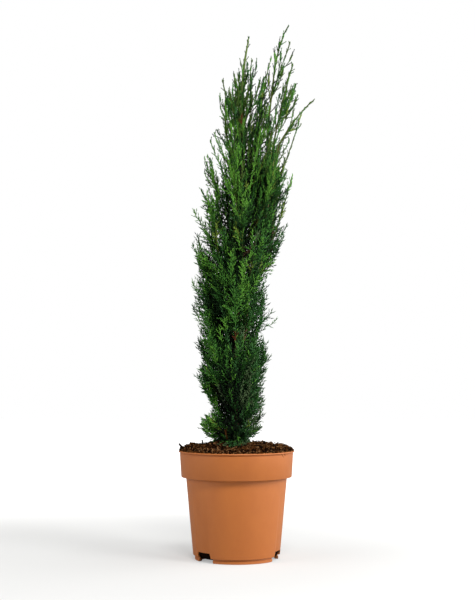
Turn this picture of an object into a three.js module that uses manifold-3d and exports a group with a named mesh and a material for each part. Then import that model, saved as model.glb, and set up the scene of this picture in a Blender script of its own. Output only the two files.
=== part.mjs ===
// Potted Italian cypress: a slim young tree, 885 mm tall, in a 19 cm round nursery pot.
// Millimetres, +Z up. The origin is the middle of the pot's underside, +X is the side that the
// leading shoots lean to, and the front of the tree faces -Y.
//
// Everything that grows follows one rule. A limb is a cubic curve that leaves what carries it and
// turns upward. Sprays stand on it at an even spacing, each a golden angle further round than the
// last, long near its foot and short at its tip. A spray that would leave the crown's outline, or
// come too near to a neighbour, is left out, so that every mass keeps to its own space.

import * as THREE from 'three';
import { mergeVertices } from 'three/addons/utils/BufferGeometryUtils.js';
import Module from 'manifold-3d';

const wasm = await Module();
wasm.setup();

// Pot
const POT_HEIGHT = 176;
const LIP_RADIUS = 95;
const LIP_DEPTH = 4;
const BAND_TOP_RADIUS = 92.9;
const BAND_FOOT_RADIUS = 90.6;
const BAND_FOOT_HEIGHT = 134;
const BODY_TOP_RADIUS = 82.5;
const BODY_TOP_HEIGHT = 127.5;
const BODY_FOOT_RADIUS = 71;
const BODY_FOOT_HEIGHT = 6.5;
const FOOT_RING_RADIUS = 66.5;
const FOOT_RING_WIDTH = 4;
const FOOT_DISC_RADIUS = 22;
const FLOOR_UNDERSIDE = 2.6;
const WALL = 1.6;
const POT_SEGMENTS = 40;
const NOTCH_ANGLES = [-48, 72, 192];
const NOTCH_HEIGHT = 16;
const NOTCH_FOOT_WIDTH = 35;
const NOTCH_TOP_WIDTH = 28;

// Soil
const SOIL_EDGE_HEIGHT = 173;
const SOIL_MOUND = 13;
const SOIL_LUMP = 2.6;
const SOIL_HEAP_FROM = 66;
const SOIL_HEAP_FULL = 84;
const SOIL_HEAP_FRONT = 1.8;
const SOIL_HEAP_SIDES = 6.2;
const SOIL_SEAT_RADIUS = 13;
const SOIL_SEAT_HEIGHT = 184;
const SOIL_SEGMENTS = 30;
const SOIL_RINGS = 8;
const SOIL_RING_CROWDING = 1.35;

// Clear space between two pieces that meet, and the width under which a sliver is merged away
const GAP = 0.3;
const SLIVER = 0.08;

// Trunk: it stands on the soil, leans a little to +X and runs whole to its tip
const GROUND = SOIL_SEAT_HEIGHT + GAP;
const TRUNK_PATH = [
  [0, 0, GROUND],
  [2, 1, 380],
  [9, -1, 473],
  [10, 1, 694],
  [11.5, 2, 804],
  [20.2, 2, 864],
];
const TRUNK_FOOT_RADIUS = 6.6;
const TRUNK_TIP_RADIUS = 0.8;
const ROOT_FLARE = 3.2;
const ROOT_FLARE_HEIGHT = 9;
const TRUNK_SIDES = 8;
const TRUNK_STEPS = 16;

// Boughs and the stems of the masses
const BOUGH_FOOT_RADIUS = 3.1;
const BOUGH_TIP_RADIUS = 1.7;
const BOUGH_SIDES = 5;
const BOUGH_STEPS = 7;
const STEM_FOOT_RADIUS = 1.7;
const STEM_TIP_RADIUS = 0.5;
const STEM_STEPS = 4;
const TWIG_SIDES = 3;
const FORK_STEPS = 3;
const FORK_FOOT_RADIUS = 1.1;

// How a limb's curve runs: how far its foot sits towards the trunk's skin, how steeply it sets out
// and arrives (rise for each step outward), and how far along it keeps to each direction
const FOOT_SHARE = 0.55;
const SET_OUT_RISE = 0.75;
const ARRIVE_RISE = 3.2;
const FORK_ARRIVE_RISE = 3;
const LIMB_BEND = 0.38;
const STEM_BEND = 0.3;
const FORK_BEND = 0.33;
const BOUGH_TURN_UP = 0.3;

// Crown outline, from the ground up: how far it reaches to the left (-X) and to the right (+X)
const CROWN_OUTLINE = [
  { height: 196, left: 36, right: 18 },
  { height: 222, left: 60, right: 43 },
  { height: 250, left: 47, right: 44 },
  { height: 298, left: 73, right: 46 },
  { height: 332, left: 63, right: 60 },
  { height: 372, left: 61, right: 48 },
  { height: 400, left: 76, right: 70 },
  { height: 450, left: 77, right: 64 },
  { height: 525, left: 77, right: 81 },
  { height: 578, left: 74, right: 82 },
  { height: 620, left: 57, right: 94 },
  { height: 704, left: 40, right: 100 },
  { height: 790, left: 26, right: 132 },
  { height: 886, left: 5, right: 96 },
];
const CROWN_DEPTH = 0.94;
const OUTLINE_SLACK = 1.02;

// Masses that go round the trunk in a spiral, a golden angle apart, from the lowest up
const GOLDEN_ANGLE = THREE.MathUtils.degToRad(137.508);
const SPIRAL_MASSES = 36;
const SPIRAL_START = THREE.MathUtils.degToRad(152);
const OUTER_REACH = [0.9, 1];
const INNER_REACH = [0.4, 0.6];
const INNER_EVERY = 3;
const LOWEST_TIP = 238;
const HIGHEST_TIP = 752;
const LOWEST_FOOT = 199;
const SHORTEST_RISE = 42;
const LONGEST_RISE = 158;
const RISE_GAIN = 0.62;
const BOUGH_EVERY = 4;
const BOUGHS_FROM = 340;
const BOUGHS_TO = 650;
const BOUGH_SHARE = 0.48;
const BOUGH_EXTRA_RISE = 62;
const HEIGHT_JITTER = 16;
const ANGLE_JITTER = 0.3;
const DENSE_BELOW = 650;
const TURNED = { mass_34: THREE.MathUtils.degToRad(-16) };

// Leading shoots at the top, with the points that they reach. The first four stand on boughs of
// their own, whose tips are given, and the others stand on the trunk. The leader and the side shoot
// lean out more towards their tips than the rest, so their own rise there is given.
const LEADERS = [
  {
    name: 'leader',
    foot: 435,
    bough: [54, 0, 728],
    tip: [87.4, -4, 885],
    arrive: 1.6,
    forks: [[0.12, [88, -16, 850]]],
  },
  {
    name: 'upper_middle',
    foot: 520,
    bough: [36, 20, 700],
    tip: [57.7, 18, 832],
    forks: [[0.3, [46, 8, 797]]],
  },
  {
    name: 'upper_right',
    foot: 480,
    bough: [62, 22, 684],
    tip: [94.3, 14, 821],
    forks: [[0.2, [99, 30, 787]]],
  },
  {
    name: 'side_shoot',
    foot: 496,
    bough: [72, -20, 681],
    tip: [129.9, -18, 756.4],
    arrive: 0.8,
    forks: [[0.18, [107, -4, 716]]],
  },
  { name: 'right_shoulder', foot: 462, tip: [92, -14, 628], forks: [] },
  { name: 'left_skirt', foot: 197, tip: [-57, -14, 225], forks: [] },
  { name: 'right_skirt', foot: 194, tip: [42, -10, 222], forks: [] },
  { name: 'top_left', foot: 655, tip: [-23.2, 5, 791.5], forks: [] },
  { name: 'top_front', foot: 676, tip: [-4.4, -15, 797.4], forks: [] },
  { name: 'top_back', foot: 694, tip: [3.6, 15, 805.2], forks: [] },
  { name: 'top_middle', foot: 728, tip: [25.5, -9, 822], forks: [] },
  { name: 'top_right', foot: 640, tip: [44, -22, 776], forks: [] },
];

// Sprays
const SPRAY_SPACING = 16;
const SPRAY_FIRST = 0.16;
const SPRAY_LAST = 0.97;
const SPRAY_ANGLE_FOOT = THREE.MathUtils.degToRad(42);
const SPRAY_ANGLE_TIP = THREE.MathUtils.degToRad(22);
const SPRAY_OUTWARD = 0.3;
const SPRAY_LENGTH = 72;
const SPRAY_LENGTH_TOP = 36;
const SPRAY_TAPER = 0.52;
const SPRAY_SHORTEST = 12;
const SPRAY_WIDTH = 0.26;
const SPRAY_THICKNESS = 0.1;
const SPRAY_WIDEST_AT = 0.34;
const SPRAY_CLEARANCE = 0.4;
const SPRAY_SECTIONS = [0, 0.2, 0.5, 0.75, 1];
const SPRAY_SIZES = [1, 0.84, 0.7, 0.56, 0.42];
const SPRAY_JITTER = 0.15;
const SPRAY_FEWEST = 3;
const OUTWARD_RISE = 0.8;
const ENDING_FROM = 0.9;
const OPEN_FROM = 560;
const OPEN_FULL = 780;
const CORE_RADIUS = 7;
const INNER_CORE_RADIUS = 11;
const CORE_SIDES = 4;
const CORE_STEPS = 6;
const CORE_CLEARANCE = 1;
const SEED = 41;

// Heights of a mass's tip at which its green changes
const UPPER_TONE_FROM = 640;
const LOWER_TONE_TO = 380;

const COLOURS = {
  pot: 0xc47d50,
  soil: 0x3f2819,
  bark: 0x7b5236,
  upper: 0x5d7c34,
  middle: 0x41692f,
  lower: 0x2c4f30,
};

// Materials
const potMaterial = new THREE.MeshStandardMaterial({ color: COLOURS.pot, roughness: 0.62, metalness: 0 });
const soilMaterial = new THREE.MeshStandardMaterial({ color: COLOURS.soil, roughness: 0.95, metalness: 0 });
const barkMaterial = new THREE.MeshStandardMaterial({ color: COLOURS.bark, roughness: 0.85, metalness: 0 });
const leafMaterials = {
  upper: new THREE.MeshStandardMaterial({ color: COLOURS.upper, roughness: 0.6, metalness: 0 }),
  middle: new THREE.MeshStandardMaterial({ color: COLOURS.middle, roughness: 0.6, metalness: 0 }),
  lower: new THREE.MeshStandardMaterial({ color: COLOURS.lower, roughness: 0.6, metalness: 0 }),
};

// A stream of numbers from 0 to 1 that is the same on every run
function seededRandom(seed) {
  let state = seed >>> 0;
  return () => {
    state = (state + 0x6d2b79f5) >>> 0;
    let mixed = Math.imul(state ^ (state >>> 15), 1 | state);
    mixed = (mixed + Math.imul(mixed ^ (mixed >>> 7), 61 | mixed)) ^ mixed;
    return ((mixed ^ (mixed >>> 14)) >>> 0) / 4294967296;
  };
}

// Solids from geometries, and back
function toSolid(geometry) {
  const plain = geometry.clone();
  plain.deleteAttribute('normal');
  plain.deleteAttribute('uv');
  const merged = mergeVertices(plain, 1e-4);
  return new wasm.Manifold(new wasm.Mesh({
    numProp: 3,
    vertProperties: new Float32Array(merged.attributes.position.array),
    triVerts: new Uint32Array(merged.index.array),
  }));
}

function toGeometry(solid) {
  const { vertProperties, triVerts } = solid.getMesh();
  const geometry = new THREE.BufferGeometry();
  geometry.setAttribute('position', new THREE.BufferAttribute(new Float32Array(vertProperties), 3));
  geometry.setIndex(new THREE.BufferAttribute(new Uint32Array(triVerts), 1));
  geometry.computeVertexNormals();
  return geometry;
}

// The largest body of a solid, without loose scraps, the skin of a sealed hollow, or the slivers
// that a join leaves
function mainBody(solid) {
  const bodies = solid.simplify(SLIVER).decompose();
  return bodies.reduce((best, body) => (body.volume() > best.volume() ? body : best));
}

function namedMesh(name, geometry, material) {
  const mesh = new THREE.Mesh(geometry, material);
  mesh.name = name;
  return mesh;
}

// Pot

// Outside and inside of the pot as one closed profile, from the middle of its underside round
function potProfile() {
  const inside = (radius) => radius - WALL;
  const lipFoot = POT_HEIGHT - LIP_DEPTH;
  const floorTop = FLOOR_UNDERSIDE + WALL;
  const ringInner = FOOT_RING_RADIUS - FOOT_RING_WIDTH;
  return [
    [0, 0],
    [FOOT_DISC_RADIUS, 0],
    [FOOT_DISC_RADIUS + FLOOR_UNDERSIDE, FLOOR_UNDERSIDE],
    [ringInner - FLOOR_UNDERSIDE / 2, FLOOR_UNDERSIDE],
    [ringInner, 0],
    [FOOT_RING_RADIUS, 0],
    [FOOT_RING_RADIUS + 0.8, BODY_FOOT_HEIGHT - 0.4],
    [BODY_FOOT_RADIUS - 0.6, BODY_FOOT_HEIGHT],
    [BODY_FOOT_RADIUS, BODY_FOOT_HEIGHT + 1.2],
    [BODY_TOP_RADIUS, BODY_TOP_HEIGHT],
    [BODY_TOP_RADIUS + 1.6, BODY_TOP_HEIGHT + 3.4],
    [BAND_FOOT_RADIUS - 1.4, BAND_FOOT_HEIGHT - 1.6],
    [BAND_FOOT_RADIUS, BAND_FOOT_HEIGHT],
    [BAND_TOP_RADIUS, lipFoot - 1],
    [BAND_TOP_RADIUS - 0.5, lipFoot],
    [LIP_RADIUS, lipFoot + 0.9],
    [LIP_RADIUS, POT_HEIGHT - 0.9],
    [LIP_RADIUS - 0.9, POT_HEIGHT],
    [inside(BAND_TOP_RADIUS), POT_HEIGHT],
    [inside(BAND_FOOT_RADIUS), BAND_FOOT_HEIGHT + WALL],
    [inside(BODY_TOP_RADIUS), BODY_TOP_HEIGHT + WALL],
    [inside(BODY_FOOT_RADIUS), BODY_FOOT_HEIGHT + 3],
    [FOOT_RING_RADIUS - 1, floorTop],
    [0, floorTop],
  ].map(([radius, height]) => new THREE.Vector2(radius, height));
}

// A turned solid about the Z axis. LatheGeometry turns about Y, so it is stood up.
function turned(profile, segments) {
  return new THREE.LatheGeometry(profile, segments).rotateX(Math.PI / 2);
}

// One drain notch: a wedge that is wider at its foot, cut out of the wall at an angle from the front
function notchCutter(angle) {
  const outline = new THREE.Shape([
    new THREE.Vector2(-NOTCH_FOOT_WIDTH / 2, -1),
    new THREE.Vector2(NOTCH_FOOT_WIDTH / 2, -1),
    new THREE.Vector2(NOTCH_TOP_WIDTH / 2, NOTCH_HEIGHT),
    new THREE.Vector2(-NOTCH_TOP_WIDTH / 2, NOTCH_HEIGHT),
  ]);
  const reach = BODY_FOOT_RADIUS - FOOT_RING_RADIUS + FOOT_RING_WIDTH + 6;
  const cutter = new THREE.ExtrudeGeometry(outline, { depth: reach + 10, bevelEnabled: false });
  cutter.rotateX(Math.PI / 2);
  cutter.translate(0, -(BODY_FOOT_RADIUS - reach), 0);
  return cutter.rotateZ(THREE.MathUtils.degToRad(angle));
}

function makePot() {
  let solid = toSolid(turned(potProfile(), POT_SEGMENTS));
  for (const angle of NOTCH_ANGLES) {
    solid = solid.subtract(toSolid(notchCutter(angle)));
  }
  return namedMesh('pot', toGeometry(mainBody(solid)), potMaterial);
}

// Soil

// How high the soil stands at a point: a mound with lumps, heaped highest near the rim to the left
// and right, and a level seat for the trunk
function soilHeight(x, y) {
  const reach = Math.hypot(x, y);
  const share = Math.min(reach / (BAND_TOP_RADIUS - WALL), 1);
  const sides = (x / Math.max(reach, 1)) ** 4;
  const heap = SOIL_HEAP_FRONT + SOIL_HEAP_SIDES * sides;
  const mound = SOIL_EDGE_HEIGHT + SOIL_MOUND * (1 - share ** 4)
    + heap * THREE.MathUtils.smoothstep(reach, SOIL_HEAP_FROM, SOIL_HEAP_FULL);
  const lumps = Math.sin(x * 0.105 + 1.1) * Math.cos(y * 0.094) + Math.sin(x * 0.047 - y * 0.081 + 0.6);
  const rough = mound + SOIL_LUMP * lumps * (1 - share ** 6);
  const blend = THREE.MathUtils.smoothstep(reach, SOIL_SEAT_RADIUS, SOIL_SEAT_RADIUS * 2.2);
  return THREE.MathUtils.lerp(SOIL_SEAT_HEIGHT, rough, blend);
}

function soilProfile() {
  const clear = WALL + GAP;
  const top = BAND_TOP_RADIUS - clear - 0.3;
  const wall = [
    [0, FLOOR_UNDERSIDE + WALL + GAP],
    [FOOT_RING_RADIUS - 1.6, FLOOR_UNDERSIDE + WALL + GAP],
    [BODY_FOOT_RADIUS - clear - 0.4, BODY_FOOT_HEIGHT + 4],
    [BODY_TOP_RADIUS - clear - 0.2, BODY_TOP_HEIGHT + WALL + GAP + 0.2],
    [BAND_FOOT_RADIUS - clear - 0.2, BAND_FOOT_HEIGHT + WALL + GAP + 0.3],
    [top, SOIL_EDGE_HEIGHT],
  ];
  const surface = [];
  for (let ring = 1; ring < SOIL_RINGS; ring += 1) {
    const inward = (ring / (SOIL_RINGS - 1)) ** SOIL_RING_CROWDING;
    const radius = THREE.MathUtils.lerp(top, SOIL_SEAT_RADIUS, inward);
    surface.push([radius, POT_HEIGHT]);
  }
  surface.push([0, POT_HEIGHT]);
  return [...wall, ...surface].map(([radius, height]) => new THREE.Vector2(radius, height));
}

function makeSoil() {
  const geometry = turned(soilProfile(), SOIL_SEGMENTS);
  const place = geometry.attributes.position;
  for (let i = 0; i < place.count; i += 1) {
    if (place.getZ(i) === POT_HEIGHT) {
      place.setZ(i, soilHeight(place.getX(i), place.getY(i)));
    }
  }
  return namedMesh('soil', toGeometry(toSolid(geometry)), soilMaterial);
}

// Limbs

const smoothFall = (share) => (1 - share) ** 0.85;

function trunkRadius(share, height) {
  const taper = TRUNK_TIP_RADIUS + (TRUNK_FOOT_RADIUS - TRUNK_TIP_RADIUS) * smoothFall(share);
  return taper + ROOT_FLARE * Math.exp(-(height - GROUND) / ROOT_FLARE_HEIGHT);
}

// A cylinder whose rings are moved along a curve, with a radius for each share of its length
function taperedTube(curve, radiusAt, sides, steps, warp = 1) {
  const geometry = new THREE.CylinderGeometry(1, 1, 1, sides, steps);
  const place = geometry.attributes.position;
  const across = new THREE.Vector3();
  const along = new THREE.Vector3();
  const deep = new THREE.Vector3();
  for (let i = 0; i < place.count; i += 1) {
    const share = THREE.MathUtils.clamp(place.getY(i) + 0.5, 0, 1) ** warp;
    along.copy(curve.getTangent(share));
    across.crossVectors(along, new THREE.Vector3(0, 1, 0)).normalize();
    deep.crossVectors(across, along);
    const radius = radiusAt(share);
    const point = curve.getPoint(share);
    point.addScaledVector(across, place.getX(i) * radius);
    point.addScaledVector(deep, place.getZ(i) * radius);
    place.setXYZ(i, point.x, point.y, point.z);
  }
  return geometry;
}

const trunkPoints = TRUNK_PATH.map((p) => new THREE.Vector3(...p));
const trunkCurve = new THREE.CatmullRomCurve3(trunkPoints, false, 'centripetal');

// The share of the trunk's curve at a height
function trunkShareAt(height) {
  let low = 0;
  let high = 1;
  for (let i = 0; i < 30; i += 1) {
    const middle = (low + high) / 2;
    if (trunkCurve.getPoint(middle).z < height) {
      low = middle;
    } else {
      high = middle;
    }
  }
  return low;
}

function trunkAt(height) {
  const share = trunkShareAt(height);
  return { point: trunkCurve.getPoint(share), radius: trunkRadius(share, height) };
}

function makeTrunk(extra = 0) {
  const radiusAt = (share) => trunkRadius(share, trunkCurve.getPoint(share).z) + extra;
  return taperedTube(trunkCurve, radiusAt, TRUNK_SIDES, TRUNK_STEPS, 1.25);
}

// A limb's curve: it sets out from its foot in one direction and arrives at its tip in another
function limbCurve(foot, setOut, tip, arrive, bend) {
  const length = foot.distanceTo(tip);
  return new THREE.CubicBezierCurve3(
    foot.clone(),
    foot.clone().addScaledVector(setOut, length * bend),
    tip.clone().addScaledVector(arrive, -length * bend),
    tip.clone(),
  );
}

// Crown

function outlineAt(height) {
  const rows = CROWN_OUTLINE;
  const row = Math.max(1, rows.findIndex((r) => r.height > height));
  const low = rows[row - 1];
  const high = rows[row];
  const share = THREE.MathUtils.clamp((height - low.height) / (high.height - low.height), 0, 1);
  const left = THREE.MathUtils.lerp(low.left, high.left, share);
  const right = THREE.MathUtils.lerp(low.right, high.right, share);
  return { middle: (right - left) / 2, half: (right + left) / 2 };
}

function outlinePoint(height, angle, share) {
  const { middle, half } = outlineAt(height);
  return new THREE.Vector3(
    middle + share * half * Math.cos(angle),
    share * half * CROWN_DEPTH * Math.sin(angle),
    height,
  );
}

function insideOutline(point) {
  const { middle, half } = outlineAt(point.z);
  const share = Math.hypot((point.x - middle) / half, point.y / (half * CROWN_DEPTH));
  return share <= OUTLINE_SLACK && point.z < CROWN_OUTLINE.at(-1).height;
}

// The direction from the trunk to a point, turned up by a rise
function outward(from, to, rise) {
  const direction = new THREE.Vector3(to.x - from.x, to.y - from.y, 0).normalize();
  direction.z = rise;
  return direction.normalize();
}

// The plan of every mass: the limb that carries it, its own stem, and its forks
function planSpiral() {
  const plans = [];
  const random = seededRandom(SEED);
  for (let i = 0; i < SPIRAL_MASSES; i += 1) {
    const share = i / (SPIRAL_MASSES - 1);
    const height = THREE.MathUtils.lerp(LOWEST_TIP, HIGHEST_TIP, share) + (random() - 0.5) * HEIGHT_JITTER;
    const name = `mass_${String(i + 1).padStart(2, '0')}`;
    const turn = (random() - 0.5) * ANGLE_JITTER + (TURNED[name] ?? 0);
    const angle = SPIRAL_START + i * GOLDEN_ANGLE + turn;
    const onBough = i % BOUGH_EVERY === 2 && height > BOUGHS_FROM && height < BOUGHS_TO;
    const inner = i % INNER_EVERY === 1 && !onBough;
    const reach = THREE.MathUtils.lerp(...(inner ? INNER_REACH : OUTER_REACH), random());
    const tip = outlinePoint(height, angle, reach);
    const grown = Math.min(SHORTEST_RISE + RISE_GAIN * (height - LOWEST_TIP), LONGEST_RISE);
    const rise = grown + (onBough ? BOUGH_EXTRA_RISE : 0);
    const foot = Math.max(height - rise, LOWEST_FOOT + 2 * (i % 3));
    plans.push({ name, foot, tip, onBough, inner, forks: [], seed: SEED + 7 * i });
  }
  return plans;
}

function planLeaders() {
  return LEADERS.map((row, i) => ({
    name: row.name,
    foot: row.foot,
    tip: new THREE.Vector3(...row.tip),
    onBough: Boolean(row.bough),
    boughTip: row.bough && new THREE.Vector3(...row.bough),
    arrive: row.arrive,
    forks: row.forks,
    seed: SEED + 1000 + 7 * i,
  }));
}

// The curves of one mass and of its bough
function layOut(plan) {
  const up = new THREE.Vector3(0, 0, 1);
  const seat = trunkAt(plan.foot);
  const side = outward(seat.point, plan.boughTip ?? plan.tip, 0);
  const foot = seat.point.clone().addScaledVector(side, seat.radius * FOOT_SHARE);
  const setOut = outward(foot, plan.boughTip ?? plan.tip, SET_OUT_RISE);
  const lean = outward(foot, plan.tip, plan.arrive ?? ARRIVE_RISE);
  if (!plan.onBough) {
    return { ...plan, bough: null, stem: limbCurve(foot, setOut, plan.tip, lean, LIMB_BEND) };
  }
  const boughTip = plan.boughTip ?? foot.clone().lerp(plan.tip, BOUGH_SHARE);
  const heading = plan.tip.clone().sub(boughTip).normalize().lerp(up, BOUGH_TURN_UP).normalize();
  const bough = limbCurve(foot, setOut, boughTip, heading, LIMB_BEND);
  const stemFoot = boughTip.clone().addScaledVector(heading, GAP);
  return { ...plan, bough, stem: limbCurve(stemFoot, heading, plan.tip, lean, STEM_BEND) };
}

// Places that are taken, as round-ended rods that each belong to one node

function rod(owner, from, to, radius) {
  return { owner, from, to, radius };
}

function rodsAlong(owner, curve, radiusAt, count) {
  const rods = [];
  for (let i = 0; i < count; i += 1) {
    const radius = Math.max(radiusAt(i / count), radiusAt((i + 1) / count));
    rods.push(rod(owner, curve.getPoint(i / count), curve.getPoint((i + 1) / count), radius));
  }
  return rods;
}

// The least distance between the middle lines of two rods
function rodDistance(a, b) {
  const d1 = a.to.clone().sub(a.from);
  const d2 = b.to.clone().sub(b.from);
  const r = a.from.clone().sub(b.from);
  const aa = d1.dot(d1);
  const ee = d2.dot(d2);
  const ff = d2.dot(r);
  const cc = d1.dot(r);
  const bb = d1.dot(d2);
  const denominator = aa * ee - bb * bb;
  let s = denominator > 1e-9 ? THREE.MathUtils.clamp((bb * ff - cc * ee) / denominator, 0, 1) : 0;
  let t = (bb * s + ff) / ee;
  if (t < 0) {
    t = 0;
    s = THREE.MathUtils.clamp(-cc / aa, 0, 1);
  } else if (t > 1) {
    t = 1;
    s = THREE.MathUtils.clamp((bb - cc) / aa, 0, 1);
  }
  return a.from.clone().addScaledVector(d1, s).distanceTo(b.from.clone().addScaledVector(d2, t));
}

function isClear(candidate, taken) {
  return taken.every((other) => other.owner === candidate.owner
    || rodDistance(candidate, other) > candidate.radius + other.radius + SPRAY_CLEARANCE);
}

function clearOfSoil({ from, to, radius }) {
  return [from, to].every((p) => p.z - radius > soilHeight(p.x, p.y) + SPRAY_CLEARANCE);
}

// The sprays that the rule asks for on one axis, before any is left out
function spraysOn(axis, reach, random) {
  const sprays = [];
  const length = axis.getLength();
  const count = Math.max(SPRAY_FEWEST, Math.round(length / SPRAY_SPACING));
  const phase = random() * Math.PI * 2;
  for (let i = 0; i < count; i += 1) {
    const share = THREE.MathUtils.lerp(SPRAY_FIRST, SPRAY_LAST, i / (count - 1));
    const root = axis.getPoint(share);
    const along = axis.getTangent(share);
    const across = new THREE.Vector3(0, 1, 0).cross(along).normalize();
    const around = across.applyAxisAngle(along, phase + i * GOLDEN_ANGLE);
    const lean = THREE.MathUtils.lerp(SPRAY_ANGLE_FOOT, SPRAY_ANGLE_TIP, share);
    const heading = along.clone().multiplyScalar(Math.cos(lean)).addScaledVector(around, Math.sin(lean));
    heading.addScaledVector(outward(trunkAt(root.z).point, root, OUTWARD_RISE), SPRAY_OUTWARD).normalize();
    const size = reach * (1 - SPRAY_TAPER * share) * (1 + SPRAY_JITTER * (2 * random() - 1));
    const flat = along.clone().cross(around).normalize();
    sprays.push({ root, heading, size, flat });
  }
  const root = axis.getPoint(ENDING_FROM);
  const end = axis.getPoint(1);
  sprays.push({
    root,
    heading: end.clone().sub(root).normalize(),
    size: end.distanceTo(root) + STEM_TIP_RADIUS,
    flat: new THREE.Vector3(1, 0, 0),
    ending: true,
  });
  return sprays;
}

// A spray: an eight-faced blade, pointed at its root and its tip
function sprayGeometry({ root, heading, size, flat }) {
  const geometry = new THREE.OctahedronGeometry(1);
  const place = geometry.attributes.position;
  const wide = flat.clone().addScaledVector(heading, -flat.dot(heading)).normalize();
  const thick = wide.clone().cross(heading);
  for (let i = 0; i < place.count; i += 1) {
    const end = place.getY(i);
    let share = SPRAY_WIDEST_AT;
    if (Math.abs(end) > 0.5) {
      share = end > 0 ? 1 : 0;
    }
    const point = root.clone().addScaledVector(heading, share * size);
    point.addScaledVector(wide, (place.getX(i) * size * SPRAY_WIDTH) / 2);
    point.addScaledVector(thick, (place.getZ(i) * size * SPRAY_THICKNESS) / 2);
    place.setXYZ(i, point.x, point.y, point.z);
  }
  return geometry;
}

// A spray's space: rods along it, each as thick as the blade is wide there
function sprayRods(owner, { root, heading, size }) {
  const at = (share) => root.clone().addScaledVector(heading, share * size);
  const halfWidth = (share) => {
    const full = (size * SPRAY_WIDTH) / 2;
    return share < SPRAY_WIDEST_AT
      ? (full * share) / SPRAY_WIDEST_AT
      : (full * (1 - share)) / (1 - SPRAY_WIDEST_AT);
  };
  return SPRAY_SECTIONS.slice(1).map((end, i) => {
    const start = SPRAY_SECTIONS[i];
    const middle = THREE.MathUtils.clamp(SPRAY_WIDEST_AT, start, end);
    return rod(owner, at(start), at(end), halfWidth(middle) * 0.95);
  });
}

const taper = (foot, tip) => (share) => THREE.MathUtils.lerp(foot, tip, share);

// How thick a dense mass's core is along its stem
function coreRadius(room) {
  return (share) => {
    const bulge = Math.sin(Math.PI * THREE.MathUtils.clamp(share, 0, 1)) ** 0.8;
    return THREE.MathUtils.lerp(STEM_FOOT_RADIUS, STEM_TIP_RADIUS, share) + room * bulge;
  };
}

// How much room a mass's stem has before its core would meet a neighbour
function roomAround(mass, masses, limbs) {
  let room = mass.inner ? INNER_CORE_RADIUS : CORE_RADIUS;
  for (let i = 3; i <= 8; i += 1) {
    const here = rod(mass.name, mass.stem.getPoint(i / 11), mass.stem.getPoint((i + 1) / 11), 0);
    for (const other of masses) {
      if (other !== mass) {
        for (const piece of rodsAlong(other.name, other.stem, () => 0, 6)) {
          room = Math.min(room, rodDistance(here, piece) / 2 - STEM_FOOT_RADIUS - CORE_CLEARANCE);
        }
      }
    }
    for (const limb of limbs) {
      room = Math.min(room, rodDistance(here, limb) - limb.radius - STEM_FOOT_RADIUS - CORE_CLEARANCE);
    }
  }
  return Math.max(room, 0);
}

function leafTone(mass) {
  if (mass.tip.z > UPPER_TONE_FROM) {
    return 'upper';
  }
  return mass.tip.z > LOWER_TONE_TO ? 'middle' : 'lower';
}

function makeCrown() {
  const masses = [...planSpiral(), ...planLeaders()].map(layOut);
  const trunkRods = rodsAlong('trunk', trunkCurve, (s) => trunkRadius(s, trunkCurve.getPoint(s).z), 24);
  const boughRadius = taper(BOUGH_FOOT_RADIUS, BOUGH_TIP_RADIUS);
  const boughRods = masses.filter((m) => m.bough)
    .flatMap((m) => rodsAlong(`bough_${m.name}`, m.bough, boughRadius, 8));
  const taken = [...trunkRods, ...boughRods];

  for (const mass of masses) {
    mass.stemRadius = taper(STEM_FOOT_RADIUS, STEM_TIP_RADIUS);
    if (mass.tip.z < DENSE_BELOW) {
      mass.stemRadius = coreRadius(roomAround(mass, masses, taken));
      mass.dense = true;
    }
    mass.forkCurves = mass.forks.map(([share, tip]) => {
      const foot = mass.stem.getPoint(share);
      const end = new THREE.Vector3(...tip);
      const setOut = mass.stem.getTangent(share);
      return limbCurve(foot, setOut, end, outward(foot, end, FORK_ARRIVE_RISE), FORK_BEND);
    });
    mass.random = seededRandom(mass.seed);
    const reach = THREE.MathUtils.lerp(
      SPRAY_LENGTH,
      SPRAY_LENGTH_TOP,
      THREE.MathUtils.smoothstep(mass.tip.z, OPEN_FROM, OPEN_FULL),
    );
    const axes = [mass.stem, ...mass.forkCurves];
    mass.wanted = axes.flatMap((axis) => spraysOn(axis, reach, mass.random));
    mass.sprays = [];
  }
  for (const mass of masses) {
    taken.push(...rodsAlong(mass.name, mass.stem, mass.stemRadius, 10));
    for (const fork of mass.forkCurves) {
      taken.push(...rodsAlong(mass.name, fork, taper(FORK_FOOT_RADIUS, STEM_TIP_RADIUS), 4));
    }
  }
  const rounds = Math.max(...masses.map((m) => m.wanted.length));
  for (let round = 0; round < rounds; round += 1) {
    for (const mass of masses) {
      const spray = mass.wanted[round];
      if (spray) {
        placeSpray(mass, spray, taken);
      }
    }
  }
  return masses;
}

// Tries a spray at its full size and then shorter, and keeps it where it stays in its own space
function placeSpray(mass, spray, taken) {
  for (const share of SPRAY_SIZES) {
    const tried = { ...spray, size: spray.size * share };
    const space = sprayRods(mass.name, tried);
    const fits = spray.ending || (tried.size >= SPRAY_SHORTEST && insideOutline(space.at(-1).to));
    if (fits && space.every((piece) => isClear(piece, taken) && clearOfSoil(piece))) {
      taken.push(...space);
      mass.sprays.push(tried);
      return;
    }
  }
}

function massMesh(mass, trunkSpace) {
  const sides = mass.dense ? CORE_SIDES : TWIG_SIDES;
  const steps = mass.dense ? CORE_STEPS : STEM_STEPS;
  let solid = toSolid(taperedTube(mass.stem, mass.stemRadius, sides, steps));
  for (const fork of mass.forkCurves) {
    const radius = taper(FORK_FOOT_RADIUS, STEM_TIP_RADIUS);
    solid = solid.add(toSolid(taperedTube(fork, radius, TWIG_SIDES, FORK_STEPS)));
  }
  for (const spray of mass.sprays) {
    solid = solid.add(toSolid(sprayGeometry(spray)));
  }
  if (!mass.onBough) {
    solid = solid.subtract(trunkSpace);
  }
  return namedMesh(mass.name, toGeometry(mainBody(solid)), leafMaterials[leafTone(mass)]);
}

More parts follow.
